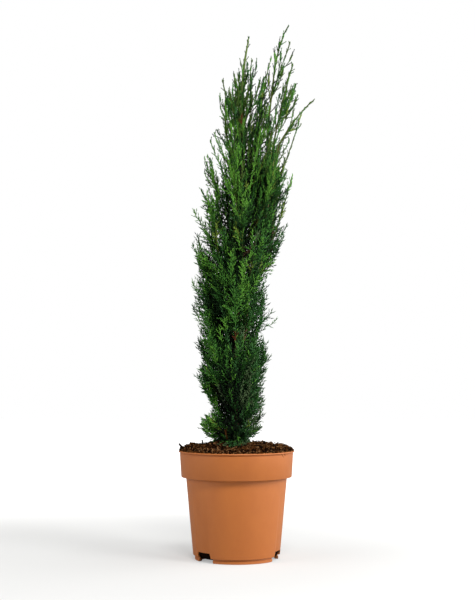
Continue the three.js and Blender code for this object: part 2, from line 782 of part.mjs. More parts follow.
function boughMesh(mass, trunkSpace) {
  const radius = taper(BOUGH_FOOT_RADIUS, BOUGH_TIP_RADIUS);
  const solid = toSolid(taperedTube(mass.bough, radius, BOUGH_SIDES, BOUGH_STEPS)).subtract(trunkSpace);
  return namedMesh(`bough_${mass.name}`, toGeometry(mainBody(solid)), barkMaterial);
}

const tree = new THREE.Group();
tree.add(makePot());
tree.add(makeSoil());
tree.add(namedMesh('trunk', toGeometry(toSolid(makeTrunk())), barkMaterial));
const trunkSpace = toSolid(makeTrunk(GAP));
for (const mass of makeCrown()) {
  if (mass.onBough) {
    tree.add(boughMesh(mass, trunkSpace));
  }
  tree.add(massMesh(mass, trunkSpace));
}

export default tree;
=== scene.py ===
"""Potted Italian cypress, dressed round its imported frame.

Metres, +Z up. The crown grows by the same rule as the solids: limbs leave the trunk on cubic
curves, and sprays stand on them a golden angle apart. Here the rule goes on to finer shoots,
branchlets and leaf twigs, within the same outline.
"""

import logging
import math
from dataclasses import dataclass, field
from enum import Enum
from typing import Any, Callable, Optional, Sequence, Union

import bmesh
import bpy
import numpy as np
from mathutils import Matrix, Vector


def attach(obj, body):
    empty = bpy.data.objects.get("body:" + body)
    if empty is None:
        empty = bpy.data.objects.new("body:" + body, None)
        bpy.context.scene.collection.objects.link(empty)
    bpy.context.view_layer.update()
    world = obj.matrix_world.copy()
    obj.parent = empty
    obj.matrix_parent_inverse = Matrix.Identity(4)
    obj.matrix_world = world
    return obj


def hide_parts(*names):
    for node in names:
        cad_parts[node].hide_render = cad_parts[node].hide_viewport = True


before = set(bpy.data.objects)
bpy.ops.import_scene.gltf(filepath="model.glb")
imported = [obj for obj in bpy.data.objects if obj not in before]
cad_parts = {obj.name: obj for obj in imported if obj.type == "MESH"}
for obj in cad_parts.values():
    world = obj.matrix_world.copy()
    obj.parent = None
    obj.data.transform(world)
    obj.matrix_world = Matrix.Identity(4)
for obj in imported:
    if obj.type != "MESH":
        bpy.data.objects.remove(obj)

log = logging.getLogger("cypress")

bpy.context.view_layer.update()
BODY = "root"
MM = 0.001
WELD_REACH = 1e-6
UP = np.array([0.0, 0.0, 1.0])
RIGHT = np.array([1.0, 0.0, 0.0])
CURVE_STEP = 1e-4
LENGTH_POINTS = 201
GOLDEN_ANGLE = math.radians(137.508)
PIECE_TRIANGLES = 185000

Number = Union[int, float]
Array = np.ndarray
Pair = tuple[float, float]
Triple = tuple[float, float, float]
Edges = tuple[float, float, float, float]
Line = tuple[Array, Array, int]


# Node graphs


class Wire:
    """An output socket that can be used in expressions."""

    def __init__(self, graph: "Graph", socket: bpy.types.NodeSocket) -> None:
        """Keep the socket and the graph that it is in.

        Args:
            graph: The graph that new nodes go into.
            socket: The output socket.
        """
        self.graph = graph
        self.socket = socket

    def maths(self, operation: str, other: "Operand", swapped: bool = False) -> "Wire":
        """Add one Math node.

        Args:
            operation: The node's operation.
            other: The second value.
            swapped: Whether the second value comes first.

        Returns:
            The result.
        """
        pair = (other, self) if swapped else (self, other)
        return self.graph.node("ShaderNodeMath", {"operation": operation}, {0: pair[0], 1: pair[1]})

    def __add__(self, other: "Operand") -> "Wire":
        """Add a value."""
        return self.maths("ADD", other)

    def __radd__(self, other: "Operand") -> "Wire":
        """Add to a value."""
        return self.maths("ADD", other, True)

    def __sub__(self, other: "Operand") -> "Wire":
        """Take a value away."""
        return self.maths("SUBTRACT", other)

    def __rsub__(self, other: "Operand") -> "Wire":
        """Take away from a value."""
        return self.maths("SUBTRACT", other, True)

    def __mul__(self, other: "Operand") -> "Wire":
        """Multiply by a value."""
        return self.maths("MULTIPLY", other)

    def __rmul__(self, other: "Operand") -> "Wire":
        """Multiply a value."""
        return self.maths("MULTIPLY", other, True)


Operand = Union[Wire, Number]


class Graph:
    """A node tree, with one method that adds any node."""

    def __init__(self, tree: bpy.types.NodeTree) -> None:
        """Start from an empty tree.

        Args:
            tree: The tree to fill.
        """
        self.tree = tree
        self.tree.nodes.clear()

    def node(
        self,
        kind: str,
        settings: Optional[dict[str, Any]] = None,
        inputs: Optional[dict[Union[str, int], Any]] = None,
        out: Union[str, int] = 0,
    ) -> Wire:
        """Add a node, with its settings first and then its sockets.

        Args:
            kind: The node's type.
            settings: The node's own settings, and stops for a colour ramp.
            inputs: Values or wires by socket name or number.
            out: The output that is wanted.

        Returns:
            The wire of that output.
        """
        node = self.tree.nodes.new(kind)
        for name, value in (settings or {}).items():
            if name == "stops":
                self.set_stops(node.color_ramp, value)
            else:
                setattr(node, name, value)
        for key, value in (inputs or {}).items():
            if isinstance(value, Wire):
                self.tree.links.new(value.socket, node.inputs[key])
            else:
                node.inputs[key].default_value = value
        return Wire(self, node.outputs[out])

    @staticmethod
    def set_stops(ramp: bpy.types.ColorRamp, stops: Sequence[tuple[float, Any]]) -> None:
        """Set a ramp's stops.

        Args:
            ramp: The ramp.
            stops: Each stop's place and colour.
        """
        while len(ramp.elements) < len(stops):
            ramp.elements.new(0.5)
        for element, (place, colour) in zip(ramp.elements, stops):
            element.position = place
            element.color = colour

    def mix(self, share: Any, first: Any, second: Any) -> Wire:
        """Mix two colours.

        Args:
            share: How much of the second colour.
            first: The first colour.
            second: The second colour.

        Returns:
            The mixed colour.
        """
        settings = {"data_type": "RGBA"}
        return self.node("ShaderNodeMix", settings, {0: share, 6: first, 7: second}, 2)

    def ramp(self, value: Wire, stops: Sequence[tuple[float, Any]]) -> Wire:
        """Turn a value into a colour.

        Args:
            value: The value, from 0 to 1.
            stops: Each stop's place and colour.

        Returns:
            The colour.
        """
        return self.node("ShaderNodeValToRGB", {"stops": stops}, {0: value})

    def noise(self, vector: Wire, scale: Any, detail: float, rough: float = 0.5) -> Wire:
        """Add soft noise.

        Args:
            vector: Where it is read.
            scale: How many patches there are in a metre.
            detail: How many finer layers it has.
            rough: How strong they are.

        Returns:
            A value from 0 to 1.
        """
        inputs = {"Vector": vector, "Scale": scale, "Detail": detail, "Roughness": rough}
        return self.node("ShaderNodeTexNoise", {}, inputs)

    def ease(self, value: Wire, edges: Pair, ends: Pair = (0.0, 1.0)) -> Wire:
        """Go smoothly from one value to another.

        Args:
            value: What it goes by.
            edges: Where it starts and stops.
            ends: The values before and after.

        Returns:
            The eased value.
        """
        inputs = {"Value": value, "From Min": edges[0], "From Max": edges[1]}
        inputs |= {"To Min": ends[0], "To Max": ends[1]}
        return self.node("ShaderNodeMapRange", {"interpolation_type": "SMOOTHSTEP"}, inputs)


class Surface(Graph):
    """A material whose nodes end in one Principled surface."""

    def __init__(self, name: str) -> None:
        """Make an empty material.

        Args:
            name: The material's name.
        """
        self.material = bpy.data.materials.new(name)
        self.material.use_nodes = True
        super().__init__(self.material.node_tree)

    def place(self, stretch: Triple = (1.0, 1.0, 1.0)) -> Wire:
        """Object coordinates, stretched along each axis.

        Args:
            stretch: The scale along X, Y and Z.

        Returns:
            The coordinates.
        """
        where = self.node("ShaderNodeTexCoord", out="Object")
        return self.node("ShaderNodeMapping", {}, {"Vector": where, "Scale": stretch})

    def bump(self, height: Wire, strength: float, distance: float) -> Wire:
        """A relief in the surface's shading.

        Args:
            height: The relief, from 0 to 1.
            strength: How much of it shows.
            distance: Its depth in metres.

        Returns:
            The normal.
        """
        inputs = {"Strength": strength, "Distance": distance, "Height": height}
        return self.node("ShaderNodeBump", {}, inputs)

    def finish(self, **sockets: Any) -> bpy.types.Material:
        """End the material.

        Args:
            sockets: Values or wires for the surface's sockets, with _ for a space.

        Returns:
            The material.
        """
        inputs = {name.replace("_", " "): value for name, value in sockets.items()}
        surface = self.node("ShaderNodeBsdfPrincipled", {}, inputs)
        ending = self.tree.nodes.new("ShaderNodeOutputMaterial")
        self.tree.links.new(surface.socket, ending.inputs["Surface"])
        return self.material


class Recipe(Graph):
    """A geometry tree with named inputs, which turns an object into a plain mesh."""

    def __init__(self, name: str, inputs: Sequence[tuple[str, str]]) -> None:
        """Make the tree and its inputs.

        Args:
            name: The tree's name.
            inputs: Each input's name and kind of socket.
        """
        super().__init__(bpy.data.node_groups.new(name, "GeometryNodeTree"))
        face = self.tree.interface
        face.new_socket("Geometry", in_out="INPUT", socket_type="NodeSocketGeometry")
        for title, kind in inputs:
            face.new_socket(title, in_out="INPUT", socket_type=f"NodeSocket{kind}")
        face.new_socket("Geometry", in_out="OUTPUT", socket_type="NodeSocketGeometry")
        self.group_input = self.tree.nodes.new("NodeGroupInput")

    def given(self, title: str) -> Wire:
        """One of the tree's inputs."""
        return Wire(self, self.group_input.outputs[title])

    def attribute(self, name: str, kind: str = "FLOAT") -> Wire:
        """A named attribute of the geometry.

        Args:
            name: The attribute's name.
            kind: Its data type.

        Returns:
            Its value.
        """
        return self.node("GeometryNodeInputNamedAttribute", {"data_type": kind}, {"Name": name})

    def tagged(self, tag: str, number: int) -> Wire:
        """Whether a whole-number attribute has one value.

        Args:
            tag: The attribute's name.
            number: The value.

        Returns:
            True or false.
        """
        inputs = {2: self.attribute(tag, "INT"), 3: number}
        return self.node("FunctionNodeCompare", {"data_type": "INT", "operation": "EQUAL"}, inputs)

    def stand(self, title: str, turn: Wire, scale: Wire, **chosen: Wire) -> Wire:
        """Put a copy of a given object on every point.

        Args:
            title: The input that holds the object.
            turn: The rotation of each copy.
            scale: Its size.
            chosen: The Selection, where some points are left out.

        Returns:
            The copies, as instances.
        """
        copy = self.node("GeometryNodeObjectInfo", {}, {"Object": self.given(title)}, "Geometry")
        inputs = {"Points": self.given("Geometry"), "Instance": copy, "Rotation": turn, "Scale": scale}
        return self.node("GeometryNodeInstanceOnPoints", {}, inputs | chosen)

    def paint(self, geometry: Wire, materials: Sequence[bpy.types.Material], tag: str) -> Wire:
        """Give each face the material that its tag names.

        Args:
            geometry: The mesh.
            materials: The materials, in the order of the tag.
            tag: The whole-number attribute that names one.

        Returns:
            The painted mesh.
        """
        for number, material in enumerate(materials):
            inputs = {"Geometry": geometry, "Material": material}
            if number:
                inputs["Selection"] = self.tagged(tag, number)
            geometry = self.node("GeometryNodeSetMaterial", {}, inputs)
        return geometry

    def close(self, geometry: Wire) -> None:
        """End the tree in its output.

        Args:
            geometry: The finished geometry.
        """
        ending = self.tree.nodes.new("NodeGroupOutput")
        self.tree.links.new(geometry.socket, ending.inputs[0])

    def make(self, name: str, start: bpy.types.Mesh, values: dict[str, Any]) -> bpy.types.Object:
        """Run the tree on a mesh.

        Args:
            name: The piece's name.
            start: The mesh that the tree works on.
            values: The inputs, by name.

        Returns:
            The piece, a plain mesh with no modifier.
        """
        seed_object = new_object(f"{name}_start", start)
        modifier = seed_object.modifiers.new("recipe", "NODES")
        modifier.node_group = self.tree
        for item in self.tree.interface.items_tree:
            if item.in_out == "INPUT" and item.name in values:
                modifier[item.identifier] = values[item.name]
        depsgraph = bpy.context.evaluated_depsgraph_get()
        evaluated = seed_object.evaluated_get(depsgraph)
        mesh = bpy.data.meshes.new_from_object(evaluated, depsgraph=depsgraph)
        seed_object.modifiers.remove(modifier)
        bpy.data.objects.remove(seed_object)
        mesh.name = name
        return new_object(name, mesh)


def new_object(name: str, mesh: bpy.types.Mesh) -> bpy.types.Object:
    """Put a mesh into the scene.

    Args:
        name: The object's name.
        mesh: Its mesh.

    Returns:
        The object, at the origin.
    """
    piece = bpy.data.objects.new(name, mesh)
    bpy.context.scene.collection.objects.link(piece)
    return piece


def point_mesh(name: str, points: Array, values: dict[str, Array], edges: Any = ()) -> bpy.types.Mesh:
    """A mesh of points and edges with attributes.

    Args:
        name: The mesh's name.
        points: The points, in metres.
        values: Each attribute's value at every point: whole numbers, numbers or vectors.
        edges: The pairs of points that are joined.

    Returns:
        The mesh.
    """
    mesh = bpy.data.meshes.new(name)
    mesh.vertices.add(len(points))
    mesh.vertices.foreach_set("co", points.astype(np.float32).ravel())
    if len(edges):
        mesh.edges.add(len(edges))
        mesh.edges.foreach_set("vertices", edges.astype(np.int32).ravel())
    for title, numbers in values.items():
        whole = np.issubdtype(numbers.dtype, np.integer)
        key = "vector" if numbers.ndim > 1 else "value"
        kind = "INT" if whole else "FLOAT_VECTOR" if numbers.ndim > 1 else "FLOAT"
        layer = mesh.attributes.new(title, kind, "POINT")
        layer.data.foreach_set(key, numbers.astype(np.int32 if whole else np.float32).ravel())
    mesh.update()
    return mesh


def mesh_of(name: str, points: Any, faces: Any, smooth: bool = True) -> bpy.types.Mesh:
    """A mesh of points and faces, its faces pointing out.

    Args:
        name: The mesh's name.
        points: The points, in metres.
        faces: The faces, as rows of point numbers.
        smooth: Whether it is shaded smooth.

    Returns:
        The mesh.
    """
    mesh = bpy.data.meshes.new(name)
    mesh.from_pydata([tuple(p) for p in points], [], [tuple(f) for f in faces])
    work = bmesh.new()
    work.from_mesh(mesh)
    bmesh.ops.remove_doubles(work, verts=work.verts, dist=WELD_REACH)
    bmesh.ops.recalc_face_normals(work, faces=work.faces)
    work.to_mesh(mesh)
    work.free()
    mesh.polygons.foreach_set("use_smooth", [smooth] * len(mesh.polygons))
    mesh.update()
    return mesh


def level_circle(count: int) -> Array:
    """The points of a level circle with a radius of 1."""
    turns = np.linspace(0, 2 * math.pi, count, endpoint=False)
    return np.stack([np.cos(turns), np.sin(turns)], axis=1)


def turned(name: str, foot: float, rings: Sequence[Array], top: float) -> bpy.types.Object:
    """A closed solid through rings of points round the upright axis.

    Args:
        name: The object's name.
        foot: The height of the middle point that closes the first ring, in millimetres.
        rings: The rings, each with as many points.
        top: The height of the middle point that closes the last ring.

    Returns:
        The solid.
    """
    points = np.concatenate([[(0.0, 0.0, foot)], *rings, [(0.0, 0.0, top)]]) * MM
    count = len(rings[0])
    starts = range(1, len(points) - 1 - count, count)
    faces = []
    for side in range(count):
        other = (side + 1) % count
        faces.append((0, 1 + other, 1 + side))
        for low in starts:
            faces.append((low + side, low + other, low + count + other, low + count + side))
        last = len(points) - 1 - count
        faces.append((last + side, last + other, len(points) - 1))
    return new_object(name, mesh_of(name, points, faces))


def triangles(piece: bpy.types.Object) -> int:
    """How many triangles a piece has."""
    sides = np.zeros(len(piece.data.polygons), dtype=np.int32)
    piece.data.polygons.foreach_get("loop_total", sides)
    return int((sides - 2).sum())


def linear(colour: str, gain: float = 1.0) -> Edges:
    """A screen colour as the shader's own numbers.

    Args:
        colour: Six hexadecimal digits.
        gain: How much brighter it is made.

    Returns:
        Red, green, blue and 1.
    """
    parts = [int(colour[i:i + 2], 16) / 255 for i in (0, 2, 4)]
    lit = [p / 12.92 if p <= 0.04045 else ((p + 0.055) / 1.055) ** 2.4 for p in parts]
    return (*[min(part * gain, 1.0) for part in lit], 1.0)


def hand_over(piece: bpy.types.Object, nodes: Sequence[str]) -> None:
    """Tie a piece to the frame and report it.

    Args:
        piece: The finished piece.
        nodes: The nodes that it stands for.
    """
    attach(piece, BODY)
    if nodes:
        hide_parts(*nodes)
    log.info("%s: %d triangles", piece.name, triangles(piece))


# Finishes


class Green(Enum):
    """The greens and browns of the crown, each dealt out by spray, with two near-black greens that are
    painted shade.
    """

    DEEP = "234a1a"
    MID = "3b6a27"
    FRESH = "55872f"
    LIME = "6d8432"
    BLUE = "2f562c"
    GREY = "455838"
    OLIVE = "3f5722"
    # Painted shade: this green and the next are dealt to branchlets deep in the crown, where shade falls.
    SHADE = "0f270d"
    DEEP_SHADE = "061006"
    STRAW = "46501f"
    # Dark olive for the lower stems and bearers: partly the wood's own colour, partly painted shade in place
    # of its brown.
    WOOD = "2d2d17"
    RUST = "45200d"

    @property
    def number(self) -> int:
        """Its place among the foliage materials."""
        return list(Green).index(self)


@dataclass(frozen=True)
class LeafFinish:
    """Waxy scale leaves: one plain green for each spray."""

    roughness: float = 0.6
    shine: float = 0.1
    gain: float = 1.12

    def material(self, green: Green) -> bpy.types.Material:
        """The material of one green.

        Args:
            green: Which green.

        Returns:
            The material.
        """
        surface = Surface(f"leaf_{green.name.lower()}")
        return surface.finish(
            Base_Color=linear(green.value, self.gain),
            Roughness=self.roughness,
            Specular_IOR_Level=self.shine,
        )


@dataclass(frozen=True)
class BarkFinish:
    """Thin fibrous bark, red-brown with paler strips, and green on the youngest wood."""

    tones: tuple[tuple[float, str], ...] = ((0.32, "3a2418"), (0.5, "6b4630"), (0.72, "9a7c5e"))
    patch: str = "3a2418"
    patch_share: float = 0.45
    young: str = "56692c"
    young_heights: Pair = (0.62, 0.74)
    strip_stretch: float = 0.12
    strip_scale: float = 900.0
    patch_scale: float = 120.0
    roughness: Pair = (0.72, 0.92)
    relief_strength: float = 0.6
    relief: float = 0.0006

    def material(self) -> bpy.types.Material:
        """The bark material."""
        surface = Surface("bark")
        along = surface.place((1.0, 1.0, self.strip_stretch))
        strips = surface.noise(along, self.strip_scale, detail=5, rough=0.6)
        patches = surface.noise(surface.place(), self.patch_scale, detail=3)
        colour = surface.ramp(strips, [(place, linear(tone)) for place, tone in self.tones])
        colour = surface.mix(patches * self.patch_share, colour, linear(self.patch))
        height = surface.node("ShaderNodeSeparateXYZ", {}, {0: surface.place()}, "Z")
        colour = surface.mix(surface.ease(height, self.young_heights), colour, linear(self.young))
        return surface.finish(
            Base_Color=colour,
            Roughness=between(self.roughness, strips),
            Normal=surface.bump(strips, self.relief_strength, self.relief),
        )


@dataclass(frozen=True)
class PlasticFinish:
    """Matte terracotta-coloured moulded plastic."""

    body: str = "b4682b"
    shade: str = "a35a24"
    shine: float = 0.45
    cloud_stretch: float = 0.6
    cloud_scale: float = 34.0
    scuff_stretch: float = 0.08
    scuff_scale: float = 260.0
    grain_scale: float = 1400.0
    roughness: float = 0.42
    scuff_roughness: float = 0.1
    grain_roughness: float = 0.08
    relief_strength: float = 0.12
    relief: float = 0.0002

    def material(self) -> bpy.types.Material:
        """The plastic material."""
        surface = Surface("pot_plastic")
        along = surface.place((1.0, 1.0, self.cloud_stretch))
        cloud = surface.noise(along, self.cloud_scale, detail=5, rough=0.62)
        grain = surface.noise(surface.place(), self.grain_scale, detail=2)
        along = surface.place((1.0, 1.0, self.scuff_stretch))
        scuffs = surface.noise(along, self.scuff_scale, detail=4, rough=0.6)
        return surface.finish(
            Base_Color=surface.mix(cloud, linear(self.body), linear(self.shade)),
            Roughness=self.roughness + self.scuff_roughness * scuffs + self.grain_roughness * grain,
            Specular_IOR_Level=self.shine,
            Normal=surface.bump(grain, self.relief_strength, self.relief),
        )


@dataclass(frozen=True)
class PeatFinish:
    """Moist fibrous potting soil."""

    name: str
    dark: str
    light: str
    shine: float = 0.02
    fibre_stretch: float = 1.6
    fibre_scale: float = 700.0
    fibre_share: float = 0.8
    lump_scale: float = 160.0
    lump_share: float = 0.3
    roughness: Pair = (0.8, 0.98)
    relief_strength: float = 0.7
    relief: float = 0.0008

    def material(self) -> bpy.types.Material:
        """The soil material."""
        surface = Surface(self.name)
        along = surface.place((1.0, 1.0, self.fibre_stretch))
        fibres = surface.noise(along, self.fibre_scale, detail=5, rough=0.65)
        lumps = surface.noise(surface.place(), self.lump_scale, detail=3)
        share = fibres * self.fibre_share + lumps * self.lump_share
        colour = surface.mix(share, linear(self.dark), linear(self.light))
        return surface.finish(
            Base_Color=colour,
            Roughness=between(self.roughness, fibres),
            Specular_IOR_Level=self.shine,
            Normal=surface.bump(fibres, self.relief_strength, self.relief),
        )


@dataclass(frozen=True)
class FloorFinish:
    """Pale studio floor with a painted glow."""

    colour: str = "a9a9a7"
    # Painted light: the floor's camera-only glow, low round the shaded middle and full further out.
    glow_reach: Pair = (0.3, 1.25)
    glow: Pair = (0.37, 1.0)
    shaded_middle: Triple = (-0.26, -0.02, 0.0)
    cloud_scale: float = 3.0
    roughness: Pair = (0.85, 0.9)
    black: str = "000000"
    white: str = "ffffff"

    def material(self) -> bpy.types.Material:
        """The floor material, which melts into the white surroundings further out. Its emission, seen only
        by the camera, is painted light; it is weakest round the shaded middle left of the pot, which keeps a
        painted shadow there.
        """
        surface = Surface("studio_floor")
        place = surface.place()
        inputs = {0: place, 1: self.shaded_middle}
        reach = surface.node("ShaderNodeVectorMath", {"operation": "DISTANCE"}, inputs, "Value")
        glow = surface.ease(reach, self.glow_reach, self.glow)
        seen = surface.node("ShaderNodeLightPath", out="Is Camera Ray")
        cloud = surface.noise(place, self.cloud_scale, detail=2)
        return surface.finish(
            Base_Color=linear(self.colour),
            Roughness=between(self.roughness, cloud),
            Emission_Color=surface.mix(glow * seen, linear(self.black), linear(self.white)),
            Emission_Strength=1.0,
        )


# Growth


def unit(vectors: Array) -> Array:
    """Vectors scaled to a length of 1."""
    return vectors / np.maximum(np.linalg.norm(vectors, axis=-1, keepdims=True), 1e-12)


def smoothstep(value: Any, low: float, high: float) -> Any:
    """A smooth step from 0 at one value to 1 at another."""
    share = np.clip((value - low) / (high - low), 0.0, 1.0)
    return share * share * (3 - 2 * share)


def band(value: Any, edges: Edges) -> Any:
    """Ease up from 0 to 1 over the first two edges and down again over the last two."""
    low, low_full, high_full, high = edges
    return smoothstep(value, low, low_full) * (1 - smoothstep(value, high_full, high))


def between(pair: Pair, share: Any) -> Any:
    """The value at a share of the way from the first of a pair to the second."""
    return pair[0] + (pair[1] - pair[0]) * share


def outward(start: Array, end: Array, rise: float) -> Array:
    """The direction from one point to another on the level, turned up.

    Args:
        start: The first point.
        end: The second point.
        rise: How much it rises for each step outward.

    Returns:
        The direction.
    """
    level = unit((end - start) * np.array([1.0, 1.0, 0.0]))
    return unit(level + UP * rise)


def spread(along: Array, turn: float, lean: float) -> tuple[Array, Array]:
    """Lean away from a limb.

    Args:
        along: The limb's direction.
        turn: The angle round the limb.
        lean: The angle away from it.

    Returns:
        The direction, and the flat side of a spray that stands there.
    """
    across = unit(np.cross([0.0, 1.0, 0.0], along))
    around = across * math.cos(turn) + np.cross(along, across) * math.sin(turn)
    return along * math.cos(lean) + around * math.sin(lean), unit(np.cross(along, around))


def seeded(seed: int) -> Callable[[], float]:
    """The source's own stream of numbers from 0 to 1.

    Args:
        seed: Where the stream starts.

    Returns:
        A function that gives the next number.
    """
    whole = 0xFFFFFFFF
    state = [seed & whole]

    def step() -> float:
        """The next number."""
        state[0] = (state[0] + 0x6D2B79F5) & whole
        first = state[0]
        mixed = ((first ^ (first >> 15)) * (1 | first)) & whole
        mixed = ((mixed + (((mixed ^ (mixed >> 7)) * (61 | mixed)) & whole)) & whole) ^ mixed
        return ((mixed ^ (mixed >> 14)) & whole) / (whole + 1)

    return step


class Limb:
    """A limb's middle line, from share 0 at its foot to 1 at its tip."""

    def __init__(self, corners: Sequence[Array]) -> None:
        """A cubic curve.

        Args:
            corners: Its four control points.
        """
        self.corners = [np.asarray(c, dtype=float) for c in corners]

    @classmethod
    def between(cls, foot: Array, set_out: Array, tip: Array, arrive: Array, bend: float) -> "Limb":
        """A limb that leaves in one direction and arrives in another.

        Args:
            foot: Where it starts.
            set_out: The direction at its foot.
            tip: Where it ends.
            arrive: The direction at its tip.
            bend: How far it keeps to each direction, as a share of its length.

        Returns:
            The limb.
        """
        reach = np.linalg.norm(tip - foot) * bend
        return cls([foot, foot + set_out * reach, tip - arrive * reach, tip])

    def at(self, share: Any) -> Array:
        """The point at a share of the curve."""
        t = np.asarray(share, dtype=float)[..., None]
        a, b, c, d = self.corners
        return (1 - t) ** 3 * a + 3 * (1 - t) ** 2 * t * b + 3 * (1 - t) * t * t * c + t ** 3 * d

    def heading(self, share: Any) -> Array:
        """The direction at a share of the curve."""
        t = np.asarray(share, dtype=float)
        return unit(self.at(np.clip(t + CURVE_STEP, 0, 1)) - self.at(np.clip(t - CURVE_STEP, 0, 1)))

    def length(self) -> float:
        """The length along the curve."""
        points = self.at(np.linspace(0, 1, LENGTH_POINTS))
        return float(np.linalg.norm(np.diff(points, axis=0), axis=1).sum())


class TrunkLine(Limb):
    """The trunk's middle line, a centripetal Catmull-Rom curve through its points."""

    def at(self, share: Any) -> Array:
        """The point at a share of the curve."""
        shares = np.atleast_1d(np.asarray(share, dtype=float))
        last = len(self.corners) - 1
        found = np.array([self.one(min(int(s * last), last - 1), s * last) for s in shares])
        return found.reshape(np.shape(share) + (3,))

    def one(self, index: int, place: float) -> Array:
        """One point of the curve.

        Args:
            index: The span that it is in.
            place: Its place, counted in spans from the foot.

        Returns:
            The point.
        """
        rows = self.corners
        p1, p2 = rows[index], rows[index + 1]
        p0 = rows[index - 1] if index else 2 * p1 - p2
        p3 = rows[index + 2] if index + 2 < len(rows) else 2 * p2 - p1
        d0, d1, d2 = (np.sqrt(np.linalg.norm(b - a)) for a, b in ((p0, p1), (p1, p2), (p2, p3)))
        start = ((p1 - p0) / d0 - (p2 - p0) / (d0 + d1) + (p2 - p1) / d1) * d1
        end = ((p2 - p1) / d1 - (p3 - p1) / (d1 + d2) + (p3 - p2) / d2) * d1
        t = place - index
        curve = (-3 * p1 + 3 * p2 - 2 * start - end) * t * t + (2 * p1 - 2 * p2 + start + end) * t ** 3
        return p1 + start * t + curve


@dataclass
class Trunk:
    """The trunk's path and thickness, in millimetres."""

    ground: float = 184.3
    foot_radius: float = 6.6
    tip_radius: float = 0.8
    flare: float = 3.2
    flare_height: float = 9.0
    taper_power: float = 0.85
    path_points: int = 801
    line: TrunkLine = field(init=False)

    def __post_init__(self) -> None:
        """Lay the path through its points."""
        self.line = TrunkLine([
            (0, 0, self.ground),
            (2, 1, 380),
            (9, -1, 473),
            (10, 1, 694),
            (11.5, 2, 804),
            (20.2, 2, 864),
        ])
        self.shares = np.linspace(0, 1, self.path_points)
        self.points = self.line.at(self.shares)

    def radius(self, share: Any, height: Any) -> Any:
        """How thick the trunk is.

        Args:
            share: The share of the path.
            height: The height there.

        Returns:
            The radius.
        """
        taper = (self.foot_radius - self.tip_radius) * (1 - share) ** self.taper_power
        return self.tip_radius + taper + self.flare * np.exp(-(height - self.ground) / self.flare_height)

    def share_at(self, height: Any) -> Any:
        """The share of the path at a height."""
        return np.interp(height, self.points[:, 2], self.shares)

    def point_at(self, height: Any) -> Array:
        """The point of the path at a height."""
        rows = [np.interp(height, self.points[:, 2], self.points[:, axis]) for axis in range(3)]
        return np.stack(rows, axis=-1)


@dataclass
class SoilShape:
    """How high the soil stands, in millimetres."""

    edge_height: float = 173.0
    mound: float = 13.0
    lump: float = 2.6
    seat_radius: float = 13.0
    seat_height: float = 184.0
    wall_radius: float = 91.3
    rim_front: float = 1.8
    rim_sides: float = 2.8
    rim_reach: Pair = (66.0, 84.0)
    cross_waves: Triple = (0.105, 1.1, 0.094)
    slant_waves: Triple = (0.047, 0.081, 0.6)
    dip: Triple = (-6.0, -48.0, 26.0)
    dip_depth: float = 3.0
    seat_spread: float = 2.2

    def height(self, x: Array, y: Array) -> Array:
        """The surface's height over a point.

        Args:
            x: The point's X.
            y: The point's Y.

        Returns:
            The height.
        """
        reach = np.hypot(x, y)
        share = np.minimum(reach / self.wall_radius, 1)
        mound = self.edge_height + self.mound * (1 - share ** 4)
        wave_x, shift, wave_y = self.cross_waves
        lumps = np.sin(x * wave_x + shift) * np.cos(y * wave_y)
        wave_x, wave_y, shift = self.slant_waves
        lumps = lumps + np.sin(x * wave_x - y * wave_y + shift)
        heap = self.rim_front + self.rim_sides * (x / np.maximum(reach, 1)) ** 4
        heap = smoothstep(reach, *self.rim_reach) * heap
        dip_x, dip_y, dip_reach = self.dip
        dip = self.dip_depth * np.exp(-((x - dip_x) ** 2 + (y - dip_y) ** 2) / dip_reach ** 2)
        rough = mound + self.lump * lumps * (1 - share ** 6) + heap - dip
        blend = smoothstep(reach, self.seat_radius, self.seat_radius * self.seat_spread)
        return self.seat_height + (rough - self.seat_height) * blend


@dataclass
class Outline:
    """How far the crown reaches to the left and right at each height, in millimetres."""

    rows: tuple[Triple, ...] = (
        (196, 36, 18), (222, 60, 43), (250, 47, 44), (298, 73, 46), (332, 63, 60), (372, 61, 48),
        (400, 76, 70), (450, 77, 64), (525, 77, 81), (578, 74, 82), (620, 57, 94), (704, 40, 100),
        (790, 26, 132), (886, 5, 96),
    )
    depth: float = 0.94
    slack: float = 1.02
    limb_slack: float = 0.96
    limb_points: int = 61
    loose_from: float = 560.0
    top: float = 884.6
    box: tuple[Triple, ...] = ((-76.5, -73.5, 180.0), (128.9, 73.5, 884.9))

    def widths(self, height: Any) -> tuple[Array, Array]:
        """The middle and half the width at a height."""
        heights, lefts, rights = np.array(self.rows, dtype=float).T
        left = np.interp(height, heights, lefts)
        right = np.interp(height, heights, rights)
        return (right - left) / 2, (right + left) / 2

    def point(self, height: float, angle: float, share: float) -> Array:
        """A point inside the crown.

        Args:
            height: Its height.
            angle: Its direction from the middle.
            share: Its share of the way out.

        Returns:
            The point.
        """
        middle, half = self.widths(height)
        level = (middle + share * half * math.cos(angle), share * half * self.depth * math.sin(angle))
        return np.array([*level, height])

    def reach(self, points: Array) -> Array:
        """How far out points are, from 0 in the crown's middle to 1 at its outline."""
        middle, half = self.widths(points[:, 2])
        return np.hypot((points[:, 0] - middle) / half, points[:, 1] / (half * self.depth))

    def leaves_at(self, limb: "Limb") -> float:
        """The share of a limb at which it grows out of the crown below the open top."""
        shares = np.linspace(0, 1, self.limb_points)
        points = limb.at(shares)
        out = (self.reach(points) > self.limb_slack) & (points[:, 2] < self.loose_from)
        return float(shares[out.argmax()]) if out.any() else 1.0

    def boxed(self, points: Array) -> Array:
        """Which points are inside the crown's box."""
        low, high = np.array(self.box, dtype=float)
        return ((points > low) & (points < high)).all(1)

    def holds(self, points: Array) -> Array:
        """Which points are inside the crown."""
        return (self.reach(points) <= self.slack) & (points[:, 2] < self.top)


